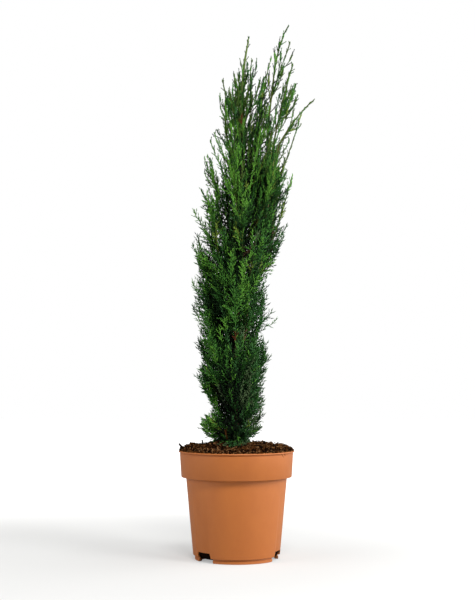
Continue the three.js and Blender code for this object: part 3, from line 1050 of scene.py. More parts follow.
# The crown's outline row by row, with the bays between the lumps of foliage
FINE_ROWS = (
    (185, 38, 20), (197, 47, 24), (212, 60, 40), (225, 60, 42), (240, 38, 44), (262, 46, 43),
    (278, 58, 44), (304, 64, 46), (326, 54, 50), (345, 66, 48), (373, 60, 38), (398, 69, 60),
    (412, 72, 54), (430, 72, 51), (463, 74, 60), (490, 72, 64), (516, 75, 72), (543, 68, 78),
    (570, 74, 80), (596, 62, 84), (623, 56, 93), (650, 54, 84), (677, 44, 86), (704, 40, 96),
    (731, 30, 108), (790, 26, 132), (886, 5, 96),
)


# Shoots listed one by one, each by the X, Y and Z of its root and of its tip, in millimetres
EDGE_SHOOTS = (
    # Right edge, from the top down
    (17.5, -6, 799, 18.3, -6, 821), (20.7, -10, 756, 24.6, -10, 793), (25.8, -4, 742, 38.7, -4, 789),
    (34.3, 4, 750, 45.7, 4, 796), (72.4, -8, 756, 93.4, -8, 818), (75.5, -12, 744, 98.6, -12, 783),
    (67, -16, 714, 87, -16, 752), (70, -10, 674, 95.2, -10, 723), (58.5, -22, 669, 76.4, -22, 719),
    (70, -20, 652, 88.4, -20, 691), (62, -18, 620, 81.7, -18, 660), (62, -14, 582, 81.5, -14, 627),
    (66, -8, 574, 93.7, -8, 622), (60, -10, 508, 86.3, -10, 551), (58.6, -8, 485, 80.2, -8, 534),
    (32.1, -6, 376, 62.3, -6, 409), (32, -12, 369, 69.8, -12, 393), (35.3, -10, 336, 54.5, -10, 356),
    (38, -14, 314, 59.8, -14, 333),
    # Left edge, from the top down
    (-24.1, -8, 664, -37.5, -8, 703), (-31, 6, 656, -44.9, 6, 694), (-39, -4, 618, -54.7, -4, 664),
    (-42, 4, 576, -61, 4, 611), (-52, -4, 538, -73.1, -4, 575), (-40.4, -16, 536, -50.7, -16, 573),
    (-50, -6, 474, -75.4, -6, 519), (-54, 2, 419, -75.6, 2, 456), (-56, -6, 381, -74.6, -6, 417),
    (-43.4, -14, 288, -72.9, -14, 299),
    # Upper front
    (-14, -8, 612, -32, -12, 662), (-17, -4, 642, -30, -8, 692), (22, -20, 556, 29, -37, 610),
    (13, -22, 582, 17, -41, 634), (25, -14, 596, 38, -34, 648), (16, -12, 622, 22, -33, 674),
    (6, -14, 650, 5, -30, 706), (35, -20, 606, 43, -35, 658), (-17, -14, 558, -23, -33, 610),
    (-12, -14, 590, -20, -31, 640), (14, -10, 690, 16, -20, 744), (20, -8, 706, 26, -18, 762),
    (24, -10, 680, 32, -22, 732), (9, -12, 700, 6, -24, 752), (16, -10, 724, 19, -18, 776),
    # Above the left lump
    (-38, -14, 277, -66, -14, 290), (-36, -16, 267, -59, -16, 280), (-34, -12, 258, -52, -14, 270),
    # Front of the foot
    (-8, -12, 197, -15, -46, 187), (0, -12, 197, -4, -50, 187), (7, -10, 196, 8, -47, 188),
    (-13, -10, 198, -27, -42, 188), (4, -12, 201, 2, -45, 197), (-9, -12, 203, -18, -42, 199),
    (9, -9, 200, 20, -40, 194),
    # Upper left
    (-24, -8, 560, -31, -22, 612), (-26, -6, 584, -35, -16, 634), (-20, -8, 606, -27, -20, 655),
    # Lower front, to the left
    (-14, -26, 352, -20, -48, 392), (-8, -24, 370, -14, -46, 412), (-20, -22, 334, -28, -44, 376),
    # Left side
    (-30, -18, 424, -42, -30, 470), (-28, -20, 456, -40, -32, 502), (-34, -14, 484, -46, -26, 530),
    # Upper right
    (30, -22, 588, 37, -38, 636), (40, -16, 618, 50, -30, 668),
    # Middle front
    (-16, -30, 430, -24, -50, 470), (-4, -32, 456, -10, -54, 500), (-14, -32, 494, -20, -52, 540),
    # Right of the middle
    (38, -24, 575, 44, -40, 625), (44, -20, 560, 52, -34, 612), (36, -26, 560, 40, -44, 606),
    # Upper front, between the others
    (12, -14, 636, 13, -32, 690), (18, -12, 650, 22, -28, 702), (24, -12, 640, 30, -30, 694),
    (11, -10, 668, 12, -24, 722), (20, -10, 676, 24, -22, 728), (26, -8, 664, 34, -22, 716),
    (0, -8, 700, -3, -18, 752), (30, -8, 700, 38, -18, 752), (44, -10, 690, 54, -22, 744),
    (8, -8, 716, 10, -16, 768), (-8, -6, 690, -14, -14, 742),
    # Lower front, to the right
    (14, -30, 390, 20, -52, 436), (18, -26, 372, 26, -46, 418), (20, -22, 420, 26, -44, 466),
    # Right side
    (36, -14, 455, 52, -24, 500), (30, -20, 440, 42, -34, 486),
    # Left lump
    (-34, -16, 222, -56, -20, 226), (-34, -16, 214, -60, -20, 215), (-34, -14, 207, -58, -18, 206),
    (-32, -12, 202, -52, -18, 199), (-40, -22, 218, -52, -30, 221), (-38, -20, 208, -52, -28, 208),
    # Right lump
    (22, -16, 222, 36, -24, 232), (22, -16, 212, 40, -22, 218), (20, -14, 205, 39, -20, 207),
    (18, -12, 200, 32, -20, 198), (14, -22, 214, 24, -34, 222), (12, -24, 206, 22, -38, 210),
    # Lower front of the foot
    (-10, -20, 198, -21, -56, 184), (-6, -20, 198, -12, -60, 183), (-2, -20, 198, -4, -60, 184),
    (2, -18, 198, 5, -56, 185), (-14, -16, 198, -32, -48, 186), (6, -16, 198, 14, -50, 186),
    (8, -12, 200, 22, -44, 189),
    # Lower sides of the left lump
    (-38, -16, 226, -58, -24, 221), (-38, -12, 216, -66, -14, 211), (-36, -20, 204, -56, -28, 203),
    (-28, -18, 202, -45, -30, 196),
    # Lower sides of the right lump
    (24, -18, 216, 45, -24, 214), (22, -20, 208, 40, -30, 203), (18, -18, 204, 30, -34, 197),
)

# Fresh pale shoots on the front, listed in the same way
PALE_SHOOTS = (
    (10.5, -44, 410, 8.7, -50, 446), (8.7, -50, 446, 9.8, -52, 481), (9.5, -51, 468, 21.8, -53, 493),
    (13, -40, 556, 22, -43, 606), (22, -43, 606, 31, -42, 654), (31, -42, 654, 39, -36, 700),
)

# Dry red-brown tips, listed in the same way
RUST_SHOOTS = (
    (1.5, -43, 388, 0.5, -46, 399), (-3, -44, 354, -1.5, -45, 364), (8, -26, 712, 8.5, -27, 725),
)


@dataclass
class Mass:
    """One mass of foliage: its limbs and how it grows, in millimetres."""

    name: str
    foot: float
    tip: Array
    seed: int
    on_bough: bool = False
    bough_tip: Optional[Array] = None
    forks: tuple[tuple[float, Triple], ...] = ()
    bough: Optional[Limb] = None
    stem: Optional[Limb] = None
    fork_limbs: list[Limb] = field(default_factory=list)


@dataclass
class CrownPlan:
    """Where every mass stands and the limbs that carry it, by the source's rule."""

    trunk: Trunk
    outline: Outline
    seed: int = 41
    spiral_masses: int = 36
    spiral_start: float = math.radians(152)
    outer_reach: Pair = (0.9, 1.0)
    inner_reach: Pair = (0.4, 0.6)
    inner_every: int = 3
    lowest_tip: float = 238.0
    highest_tip: float = 752.0
    lowest_foot: float = 199.0
    shortest_rise: float = 42.0
    longest_rise: float = 158.0
    rise_gain: float = 0.62
    bough_every: int = 4
    boughs_from: float = 340.0
    boughs_to: float = 650.0
    bough_share: float = 0.48
    bough_extra_rise: float = 62.0
    height_jitter: float = 16.0
    angle_jitter: float = 0.3
    turned: dict[str, float] = field(default_factory=lambda: {"mass_34": math.radians(-16)})
    own_rise: dict[str, float] = field(default_factory=lambda: {"leader": 1.6, "side_shoot": 0.8})
    foot_share: float = 0.55
    set_out_rise: float = 0.75
    arrive_rise: float = 3.2
    fork_arrive_rise: float = 3.0
    limb_bend: float = 0.38
    stem_bend: float = 0.3
    fork_bend: float = 0.33
    bough_turn_up: float = 0.3
    gap: float = 0.3
    seed_step: int = 7
    leader_seeds: int = 1000
    foot_step: float = 2.0
    foot_steps: int = 3

    def spiral(self) -> list[Mass]:
        """The masses that go round the trunk, from the lowest up."""
        draw = seeded(self.seed)
        masses = []
        for i in range(self.spiral_masses):
            share = i / (self.spiral_masses - 1)
            height = self.lowest_tip + (self.highest_tip - self.lowest_tip) * share
            height += (draw() - 0.5) * self.height_jitter
            name = f"mass_{i + 1:02d}"
            turn = (draw() - 0.5) * self.angle_jitter + self.turned.get(name, 0.0)
            angle = self.spiral_start + i * GOLDEN_ANGLE + turn
            on_bough = i % self.bough_every == 2 and self.boughs_from < height < self.boughs_to
            inner = i % self.inner_every == 1 and not on_bough
            low, high = self.inner_reach if inner else self.outer_reach
            tip = self.outline.point(height, angle, low + (high - low) * draw())
            grown = min(self.shortest_rise + self.rise_gain * (height - self.lowest_tip), self.longest_rise)
            rise = grown + (self.bough_extra_rise if on_bough else 0)
            foot = max(height - rise, self.lowest_foot + self.foot_step * (i % self.foot_steps))
            masses.append(Mass(name, foot, tip, self.seed + self.seed_step * i, on_bough))
        return masses

    def leaders(self) -> list[Mass]:
        """The leading shoots at the top and the skirts at the foot."""
        rows = [
            ("leader", 435, (54, 0, 728), (87.4, -4, 885), ((0.12, (88, -16, 850)),)),
            ("upper_middle", 520, (36, 20, 700), (57.7, 18, 832), ((0.3, (46, 8, 797)),)),
            ("upper_right", 480, (62, 22, 684), (94.3, 14, 821), ((0.2, (99, 30, 787)),)),
            ("side_shoot", 496, (72, -20, 681), (129.9, -18, 756.4), ((0.18, (107, -4, 716)),)),
            ("right_shoulder", 462, None, (92, -14, 628), ()),
            ("left_skirt", 197, None, (-57, -14, 225), ()),
            ("right_skirt", 194, None, (42, -10, 222), ()),
            ("top_left", 655, None, (-23.2, 5, 791.5), ()),
            ("top_front", 676, None, (-4.4, -15, 797.4), ()),
            ("top_back", 694, None, (3.6, 15, 805.2), ()),
            ("top_middle", 728, None, (25.5, -9, 822), ()),
            ("top_right", 640, None, (44, -22, 776), ()),
        ]
        masses = []
        for i, (name, foot, bough, tip, forks) in enumerate(rows):
            bough_tip = None if bough is None else np.array(bough, dtype=float)
            seed = self.seed + self.leader_seeds + self.seed_step * i
            tip_point = np.array(tip, dtype=float)
            masses.append(Mass(name, foot, tip_point, seed, bough is not None, bough_tip, forks))
        return masses

    def lay_out(self, mass: Mass) -> Mass:
        """Give a mass its limbs.

        Args:
            mass: The mass.

        Returns:
            The same mass.
        """
        share = float(self.trunk.share_at(mass.foot))
        seat = self.trunk.point_at(mass.foot)
        aim = mass.tip if mass.bough_tip is None else mass.bough_tip
        foot = seat + outward(seat, aim, 0) * self.trunk.radius(share, mass.foot) * self.foot_share
        set_out = outward(foot, aim, self.set_out_rise)
        lean = outward(foot, mass.tip, self.own_rise.get(mass.name, self.arrive_rise))
        if mass.on_bough:
            tip = foot + (mass.tip - foot) * self.bough_share if mass.bough_tip is None else mass.bough_tip
            straight = unit(mass.tip - tip)
            heading = unit(straight + (UP - straight) * self.bough_turn_up)
            mass.bough = Limb.between(foot, set_out, tip, heading, self.limb_bend)
            mass.stem = Limb.between(tip + heading * self.gap, heading, mass.tip, lean, self.stem_bend)
        else:
            mass.stem = Limb.between(foot, set_out, mass.tip, lean, self.limb_bend)
        for fork_share, end in mass.forks:
            start = mass.stem.at(fork_share)
            tip = np.array(end, dtype=float)
            arrive = outward(start, tip, self.fork_arrive_rise)
            mass.fork_limbs.append(
                Limb.between(start, mass.stem.heading(fork_share), tip, arrive, self.fork_bend)
            )
        return mass

    def masses(self) -> list[Mass]:
        """Every mass, with its limbs."""
        return [self.lay_out(mass) for mass in self.spiral() + self.leaders()]


@dataclass
class Twigs:
    """Many twigs of one order, each a bowed line, in millimetres."""

    root: Array
    heading: Array
    size: Array
    wide: Array
    bow: Array
    mass: Array
    green: Array
    share: Array

    @classmethod
    def join(cls, parts: Sequence["Twigs"]) -> "Twigs":
        """Several sets as one."""
        names = cls.__dataclass_fields__
        return cls(**{name: np.concatenate([getattr(p, name) for p in parts]) for name in names})

    def __len__(self) -> int:
        """How many twigs there are."""
        return len(self.size)

    def where(self, keep: Array) -> "Twigs":
        """The twigs that a mask or a list of numbers picks."""
        names = self.__dataclass_fields__
        return Twigs(**{name: getattr(self, name)[keep] for name in names})

    def at(self, share: Any) -> Array:
        """The points at a share of each twig's length."""
        t = np.asarray(share, dtype=float)[..., None]
        return self.root + self.heading * (self.size[:, None] * t) - self.bow * (4 * t * (1 - t))

    def along(self, share: Any) -> Array:
        """The directions at a share of each twig's length."""
        t = np.asarray(share, dtype=float)[..., None]
        return unit(self.heading * self.size[:, None] - self.bow * (4 - 8 * t))


@dataclass(frozen=True)
class Order:
    """How one order of twigs stands on the order below it, in millimetres and degrees.

    A pair holds the value in the dense lower crown and the value in the open top.
    """

    spacing: Pair
    length: Pair
    angle_foot: Pair
    angle_tip: Pair
    first: float
    last: float
    fewest: int
    flatness: float
    taper: float
    most_of_parent: float
    jitter: float
    tips: bool = False
    tips_free: bool = True


@dataclass
class Growth:
    """The whole crown, from its limbs to its leaf twigs."""

    trunk: Trunk
    soil: SoilShape
    outline: Outline
    seed: int = 7
    spray_spacing: float = 16.0
    spray_shares: Pair = (0.16, 0.97)
    spray_angles: Pair = (math.radians(42), math.radians(22))
    spray_outward: float = 0.62
    less_outward_at_top: float = 0.6
    spray_rise: float = 0.8
    spray_length: Pair = (72.0, 52.0)
    spray_taper: float = 0.52
    spray_jitter: float = 0.15
    spray_shortest: float = 6.0
    spray_sizes: tuple[float, ...] = (1.0, 0.84, 0.7, 0.56, 0.42)
    spray_fewest: int = 3
    open_from: float = 560.0
    open_full: float = 780.0
    shoots_per_spray: int = 4
    extra_size: float = 0.85
    trunk_rows: tuple[Edges, ...] = (
        (187, 84, 44, 1.9), (196, 88, 60, 1.9), (206, 80, 62, 1.5), (235, 64, 58, 1.0),
        (300, 48, 58, 0.45), (480, 40, 50, 0.42), (580, 38, 50, 0.6), (640, 36, 46, 0.48),
        (720, 32, 42, 0.44), (780, 22, 26, 0.2), (806, 18, 16, 0.1),
    )
    trunk_turn_jitter: float = 0.2
    trunk_lean_jitter: Pair = (0.8, 1.15)
    trunk_size_jitter: Pair = (0.75, 1.05)
    bare_trunk: tuple[float, ...] = (770.0, 790.0, 812.0, 836.0, 856.0, 863.5)
    ragged: float = 0.15
    thin_between: Edges = (300.0, 420.0, 730.0, 770.0)
    thin_reach: Pair = (0.62, 0.92)
    thin_share: float = 0.55
    open_between: Edges = (500.0, 545.0, 610.0, 650.0)
    open_share: float = 0.32
    sparse_between: Pair = (690.0, 790.0)
    top_missing: float = 0.4
    bare_tip: float = 0.34
    narrowed_at_top: float = 0.42
    end_from: float = 0.22
    end_least: float = 0.1
    end_parts: int = 6
    spray_bow: float = 0.13
    bow_jitter: float = 0.012
    bare_from: float = 0.45
    bare_size: float = 0.55
    soil_clearance: float = 0.8
    end_mark: float = 2.0
    bare_mark: float = 3.0
    edge_mark: float = 4.0
    pale_mark: float = 5.0
    rust_mark: float = 6.0
    set_part: float = 17.0
    leaf_beyond: Pair = (7.0, 2.5)
    place_jitter: float = 0.15
    least_place: float = 0.02
    lean_jitter: float = 0.12
    end_twig_size: float = 0.8
    least_room: float = 0.3

    def __post_init__(self) -> None:
        """Start the stream that the finer twigs draw on."""
        self.draw = np.random.default_rng(self.seed)

    def sprays_on(self, mass: Mass, number: int, axis: Limb, stream: Callable[[], float]) -> list[tuple]:
        """The shoots on one stem: the source's sprays, and others between each two.

        Args:
            mass: The mass.
            number: The mass's number.
            axis: The stem or fork.
            stream: The mass's own stream of numbers.

        Returns:
            Root, heading, size, flat direction, mass number and share of each.
        """
        count = max(self.spray_fewest, int(axis.length() / self.spray_spacing + 0.5))
        phase = stream() * math.pi * 2
        opened = smoothstep(mass.tip[2], self.open_from, self.open_full)
        reach = between(self.spray_length, opened)
        rows = []
        for step in range(self.shoots_per_spray * (count - 1) + 1):
            i = step / self.shoots_per_spray
            share = between(self.spray_shares, i / (count - 1))
            root = axis.at(share)
            extra = step % self.shoots_per_spray
            sparse = smoothstep(root[2], *self.sparse_between)
            missing = sparse * (1.0 if extra else self.top_missing)
            if self.draw.random() < missing or share > 1 - self.bare_tip * sparse:
                continue
            turn = phase + i * GOLDEN_ANGLE + extra * 2 * math.pi / self.shoots_per_spray
            lean = between(self.spray_angles, share) * (1 - self.narrowed_at_top * opened)
            heading, flat = spread(axis.heading(share), turn, lean)
            push = self.spray_outward * (1 - self.less_outward_at_top * opened)
            heading = unit(heading + outward(self.trunk.point_at(root[2]), root, self.spray_rise) * push)
            wander = self.draw.random() if extra else stream()
            size = reach * (1 - self.spray_taper * share) * (1 + self.spray_jitter * (2 * wander - 1))
            bare = 1 - (1 - self.bare_size) * opened * smoothstep(share, self.bare_from, 1.0)
            size *= bare * (self.extra_size if extra else 1.0)
            rows.append((root, heading, size, flat, number, share))
        last = self.outline.leaves_at(axis)
        ends = np.linspace(min(self.end_from, last - self.end_least), last, self.end_parts + 1)
        for place, start, end in zip(ends[1:], axis.at(ends[:-1]), axis.at(ends[1:])):
            reach = float(np.linalg.norm(end - start))
            rows.append((start, unit(end - start), reach, RIGHT, number, self.end_mark + place))
        return rows

    def sprays_on_trunk(self, masses: Sequence[Mass]) -> list[tuple]:
        """The shoots that stand straight on the trunk and the parts of its bare tip.

        Args:
            masses: The masses, each of which takes the shoots at the height of its tip.

        Returns:
            Root, heading, size, flat direction, mass number and share of each.
        """
        heights, leans, sizes, crowds = np.array(self.trunk_rows, dtype=float).T
        tips = np.array([mass.tip[2] for mass in masses])
        steps = np.arange(heights[0], heights[-1])
        passed = np.cumsum(np.interp(steps, heights, crowds))
        rows = []
        for i, height in enumerate(np.interp(np.arange(0.5, passed[-1]), passed, steps)):
            share = float(self.trunk.share_at(height))
            root = self.trunk.line.at(share)
            turn = i * GOLDEN_ANGLE + self.draw.normal(0, self.trunk_turn_jitter)
            jitter = self.draw.uniform(*self.trunk_lean_jitter)
            lean = math.radians(np.interp(height, heights, leans)) * jitter
            heading, flat = spread(self.trunk.line.heading(share), turn, lean)
            size = np.interp(height, heights, sizes) * self.draw.uniform(*self.trunk_size_jitter)
            number = int(np.abs(tips - root[2] - size).argmin())
            rows.append((root, heading, size, flat, number, share))
        bare = self.trunk.point_at(np.array(self.bare_trunk))
        return rows + self.set_shoots(np.hstack([bare[:-1], bare[1:]]), masses, self.bare_mark)

    def set_shoots(self, ends: Any, masses: Sequence[Mass], mark: float) -> list[tuple]:
        """Shoots that are given by their ends.

        Args:
            ends: A row for each, with its root and then its tip.
            masses: The masses, each of which takes the shoots near its tip.
            mark: The number that stands in place of their share.

        Returns:
            Root, heading, size, flat direction, mass number and share of each.
        """
        tips = np.array([mass.tip for mass in masses])
        rows = []
        for foot, tip in np.array(ends, dtype=float).reshape(-1, 2, 3):
            number = int(np.linalg.norm(tips - tip, axis=1).argmin())
            spare = between(self.leaf_beyond, smoothstep(tip[2], self.open_from, self.open_full))
            length = float(np.linalg.norm(tip - foot))
            if mark == self.edge_mark:
                tip = foot + (tip - foot) * (1 - spare / length)
                length -= spare
            parts = max(1, round(length / self.set_part))
            for part in range(parts):
                root = foot + (tip - foot) * part / parts
                rows.append((root, unit(tip - foot), length / parts, RIGHT, number, mark))
        return rows

    def shoots(self, masses: Sequence[Mass]) -> Twigs:
        """Every shoot on the stems, kept within the crown's outline.

        Args:
            masses: The masses.

        Returns:
            The shoots.
        """
        rows = []
        for number, mass in enumerate(masses):
            stream = seeded(mass.seed)
            for axis in [mass.stem, *mass.fork_limbs]:
                rows += self.sprays_on(mass, number, axis, stream)
            if mass.bough is not None:
                rows += self.sprays_on(mass, number, mass.bough, seeded(mass.seed + 1))
        rows += self.sprays_on_trunk(masses)
        rows += self.set_shoots(EDGE_SHOOTS, masses, self.edge_mark)
        rows += self.set_shoots(PALE_SHOOTS, masses, self.pale_mark)
        rows += self.set_shoots(RUST_SHOOTS, masses, self.rust_mark)
        root, heading, size, wide, mass_number, share = (np.array(column) for column in zip(*rows))
        fitted = np.zeros(len(size))
        allowed = self.outline.slack - np.abs(self.draw.normal(0, self.ragged, len(size)))
        for part in self.spray_sizes:
            tried = size * part
            ends = root + heading * tried[:, None]
            fits = self.outline.holds(ends) & (self.outline.reach(ends) <= allowed)
            fits &= tried >= self.spray_shortest
            fitted = np.where((fitted == 0) & (fits | (share > 1)), tried, fitted)
        bow = (UP - heading * heading[:, 2:]) * (fitted * self.spray_bow)[:, None]
        bow += self.draw.normal(0, self.bow_jitter, bow.shape) * fitted[:, None]
        found = Twigs(root, heading, fitted, wide, bow, mass_number, np.zeros(len(size), int), share)
        tips = found.at(1.0)
        thin = self.thin_share * band(tips[:, 2], self.thin_between)
        thin += self.open_share * band(tips[:, 2], self.open_between)
        thin *= smoothstep(self.outline.reach(tips), *self.thin_reach)
        kept = (share > 1) | (self.draw.random(len(size)) > thin)
        return found.where((fitted > 0) & kept & self.above_soil(tips))

    def above_soil(self, points: Array) -> Array:
        """Which points are clear of the soil."""
        return points[:, 2] > self.soil.height(points[:, 0], points[:, 1]) + self.soil_clearance

    def side_twigs(self, parents: Twigs, order: Order, high: Array) -> Twigs:
        """The next finer order of twigs.

        Args:
            parents: The twigs that they stand on.
            order: How they stand.
            high: For each parent, 0 in the dense lower crown and 1 in the open top.

        Returns:
            The finer twigs.
        """
        counts = np.maximum(order.fewest, np.rint(parents.size / between(order.spacing, high))).astype(int)
        owner = np.repeat(np.arange(len(parents)), counts)
        step = np.arange(len(owner)) - np.repeat(np.cumsum(counts) - counts, counts)
        place = order.first + (order.last - order.first) * step / np.maximum(counts[owner] - 1, 1)
        place = place + self.draw.normal(0, self.place_jitter, len(owner)) / counts[owner]
        place = np.clip(place, self.least_place, 1.0)
        base = parents.where(owner)
        along = base.along(place)
        turn = self.draw.random(len(parents))[owner] * 2 * math.pi + step * GOLDEN_ANGLE
        wide = unit(base.wide - along * (base.wide * along).sum(1, keepdims=True))
        deep = np.cross(along, wide)
        around = unit(wide * np.cos(turn)[:, None] + deep * (order.flatness * np.sin(turn))[:, None])
        angles = (between(order.angle_foot, high)[owner], between(order.angle_tip, high)[owner])
        lean = np.radians(between(angles, place)) * (1 + self.draw.normal(0, self.lean_jitter, len(owner)))
        heading = unit(along * np.cos(lean)[:, None] + around * np.sin(lean)[:, None])
        wander = 1 + order.jitter * self.draw.uniform(-1, 1, len(owner))
        size = np.minimum(between(order.length, high)[owner], order.most_of_parent * base.size)
        size = size * (1 - order.taper * place) * wander
        flat = unit(np.cross(heading, around))
        straight = np.zeros_like(heading)
        found = Twigs(base.at(place), heading, size, flat, straight, base.mass, base.green, place)
        if order.tips:
            sprays = (parents.share <= 1) | order.tips_free
            size = between(order.length, high)[sprays] * self.end_twig_size
            found = Twigs.join([found, self.end_twigs(parents.where(sprays), size)])
        ends = found.at(1.0)
        held = self.outline.boxed(ends) if order.tips_free else self.outline.holds(ends)
        return found.where(self.above_soil(ends) & held & self.outline.boxed(found.root))

    def end_twigs(self, parents: Twigs, size: Array) -> Twigs:
        """One more twig that carries on from the end of each parent.

        Args:
            parents: The twigs that they stand on.
            size: How long it is on each parent.

        Returns:
            The twigs.
        """
        ones = np.ones(len(parents))
        room = np.maximum(self.outline.top - parents.at(1.0)[:, 2], self.least_room)
        none = np.zeros_like(parents.bow)
        return Twigs(
            parents.at(ones), parents.along(ones), np.minimum(size, room), parents.wide, none,
            parents.mass, parents.green, ones,
        )


# Pieces of the tree


@dataclass(frozen=True)
class Section:
    """How round and how rough a swept limb is: its sides, its relief and the relief's scale."""

    sides: int
    relief: float
    grain: float = 900.0


@dataclass
class Limbwork:
    """Trunk, boughs and stems, each a tapering limb with the bark's relief."""

    trunk: Trunk
    outline: Outline
    bark: bpy.types.Material
    trunk_section: Section = Section(26, 0.5, 700.0)
    bough_section: Section = Section(14, 0.5)
    stem_section: Section = Section(7, 0.35)
    bough_radii: Pair = (3.1, 1.7)
    stem_radii: Pair = (1.6, 0.32)
    fork_radii: Pair = (0.9, 0.45)
    bearer_radii: Pair = (1.1, 0.6)
    bearer_rise: float = 0.8
    bearer_lowest: float = 12.0
    bearer_rises: Pair = (0.5, 1.6)
    bearer_bend: float = 0.35
    trunk_points: int = 170
    trunk_crowding: float = 1.2
    bough_points: int = 40
    stem_points: int = 22
    fork_points: int = 12
    bearer_points: int = 14
    straw_from: float = 560.0
    grain_stretch: float = 0.16

    def recipe(self, name: str, materials: Sequence[bpy.types.Material]) -> Recipe:
        """The tree that sweeps a round section along lines and roughens it.

        Args:
            name: The recipe's name.
            materials: The materials by number.

        Returns:
            The recipe.
        """
        recipe = Recipe(name, [("Sides", "Int"), ("Relief", "Float"), ("Grain", "Float")])
        curve = recipe.node("GeometryNodeMeshToCurve", {}, {"Mesh": recipe.given("Geometry")})
        section = {"Resolution": recipe.given("Sides"), "Radius": 1.0}
        round_section = recipe.node("GeometryNodeCurvePrimitiveCircle", {}, section)
        girth = recipe.attribute("girth")
        swept = {"Curve": curve, "Profile Curve": round_section, "Scale": girth, "Fill Caps": True}
        tube = recipe.node("GeometryNodeCurveToMesh", {}, swept)
        tube = recipe.node("GeometryNodeSetShadeSmooth", {}, {"Geometry": tube})
        inputs = {0: recipe.node("GeometryNodeInputPosition"), 1: (1.0, 1.0, self.grain_stretch)}
        stretched = recipe.node("ShaderNodeVectorMath", {"operation": "MULTIPLY"}, inputs)
        grain = recipe.noise(stretched, recipe.given("Grain"), detail=5)
        depth = (grain - 0.5) * recipe.given("Relief") * recipe.attribute("girth")
        normal = recipe.node("GeometryNodeInputNormal")
        offset = recipe.node("ShaderNodeVectorMath", {"operation": "SCALE"}, {0: normal, "Scale": depth})
        rough = recipe.node("GeometryNodeSetPosition", {}, {"Geometry": tube, "Offset": offset})
        solid = recipe.node("GeometryNodeRealizeInstances", {}, {"Geometry": rough})
        recipe.close(recipe.paint(solid, materials, "green"))
        return recipe

    @staticmethod
    def lines(rows: Sequence[Line]) -> bpy.types.Mesh:
        """A mesh of lines with their thickness and material.

        Args:
            rows: Each line's points, radii and material number, in millimetres.

        Returns:
            The mesh, in metres.
        """
        points = np.concatenate([row[0] for row in rows]) * MM
        girth = np.concatenate([row[1] for row in rows]).astype(np.float32) * MM
        kind = np.concatenate([np.full(len(row[0]), row[2]) for row in rows])
        starts = np.cumsum([0] + [len(row[0]) for row in rows])
        inner = np.concatenate([np.arange(a, b - 1) for a, b in zip(starts[:-1], starts[1:])])
        edges = np.stack([inner, inner + 1], axis=1)
        return point_mesh("lines", points, {"girth": girth, "green": kind}, edges)

    @staticmethod
    def taper(limb: Limb, radii: Pair, count: int, last: float = 1.0) -> tuple[Array, Array]:
        """A limb's points and radii.

        Args:
            limb: The limb.
            radii: Its radius at the foot and tip.
            count: How many points.
            last: The share of the limb at which it ends.

        Returns:
            The points and radii.
        """
        shares = np.linspace(0, 1, count)
        return limb.at(shares * last), between(radii, shares)

    def grown(self, limb: Limb, radii: Pair, count: int) -> tuple[Array, Array]:
        """The points and radii of the part of a limb that is inside the crown.

        Args:
            limb: The limb.
            radii: Its radius at the foot and tip.
            count: How many points.

        Returns:
            The points and radii.
        """
        return self.taper(limb, radii, count, self.outline.leaves_at(limb))

    def bearers(self, feet: Array) -> list[Limb]:
        """The thin limbs that carry shoots from the trunk.

        Args:
            feet: Where the shoots start.

        Returns:
            The limbs.
        """
        limbs = []
        for foot in feet:
            away = float(np.hypot(*(foot - self.trunk.point_at(foot[2]))[:2]))
            lowest = self.trunk.ground + self.bearer_lowest
            seat = self.trunk.point_at(max(foot[2] - self.bearer_rise * away, lowest))
            set_out, arrive = (outward(seat, foot, rise) for rise in self.bearer_rises)
            limbs.append(Limb.between(seat, set_out, foot, arrive, self.bearer_bend))
        return limbs

    def sweep(self, recipe: Recipe, name: str, rows: Sequence[Line], section: Section) -> bpy.types.Object:
        """Sweep lines into one piece.

        Args:
            recipe: The recipe with the piece's materials.
            name: The piece's name.
            rows: The lines.
            section: How round and rough they are.

        Returns:
            The piece.
        """
        values = {"Sides": section.sides, "Relief": section.relief, "Grain": section.grain}
        return recipe.make(name, self.lines(rows), values)

    def build(self, masses: Sequence[Mass], feet: Array, greens: Sequence[bpy.types.Material]) -> None:
        """Make the trunk, the boughs and the stems.

        Args:
            masses: The masses.
            feet: Where the shoots with limbs of their own start.
            greens: The foliage materials, by number.
        """
        wood = self.recipe("bark_limb", [self.bark])
        shares = np.linspace(0, 1, self.trunk_points) ** self.trunk_crowding
        points = self.trunk.line.at(shares)
        radii = self.trunk.radius(shares, points[:, 2])
        trunk = self.sweep(wood, "trunk_bark", [(points, radii, 0)], self.trunk_section)
        hand_over(trunk, ["trunk"])

        carried = [mass for mass in masses if mass.bough is not None]
        rows = [(*self.grown(mass.bough, self.bough_radii, self.bough_points), 0) for mass in carried]
        boughs = self.sweep(wood, "bough_bark", rows, self.bough_section)
        hand_over(boughs, [f"bough_{mass.name}" for mass in carried])

        rows = []
        for mass in masses:
            # Lower stems take the dark olive that is partly painted shade.
            tone = (Green.STRAW if mass.tip[2] > self.straw_from else Green.WOOD).number
            rows.append((*self.grown(mass.stem, self.stem_radii, self.stem_points), tone))
            for fork in mass.fork_limbs:
                rows.append((*self.grown(fork, self.fork_radii, self.fork_points), tone))
        for limb in self.bearers(feet):
            rows.append((*self.grown(limb, self.bearer_radii, self.bearer_points), Green.WOOD.number))
        stems = self.sweep(self.recipe("green_limb", greens), "stems", rows, self.stem_section)
        hand_over(stems, [mass.name for mass in masses])


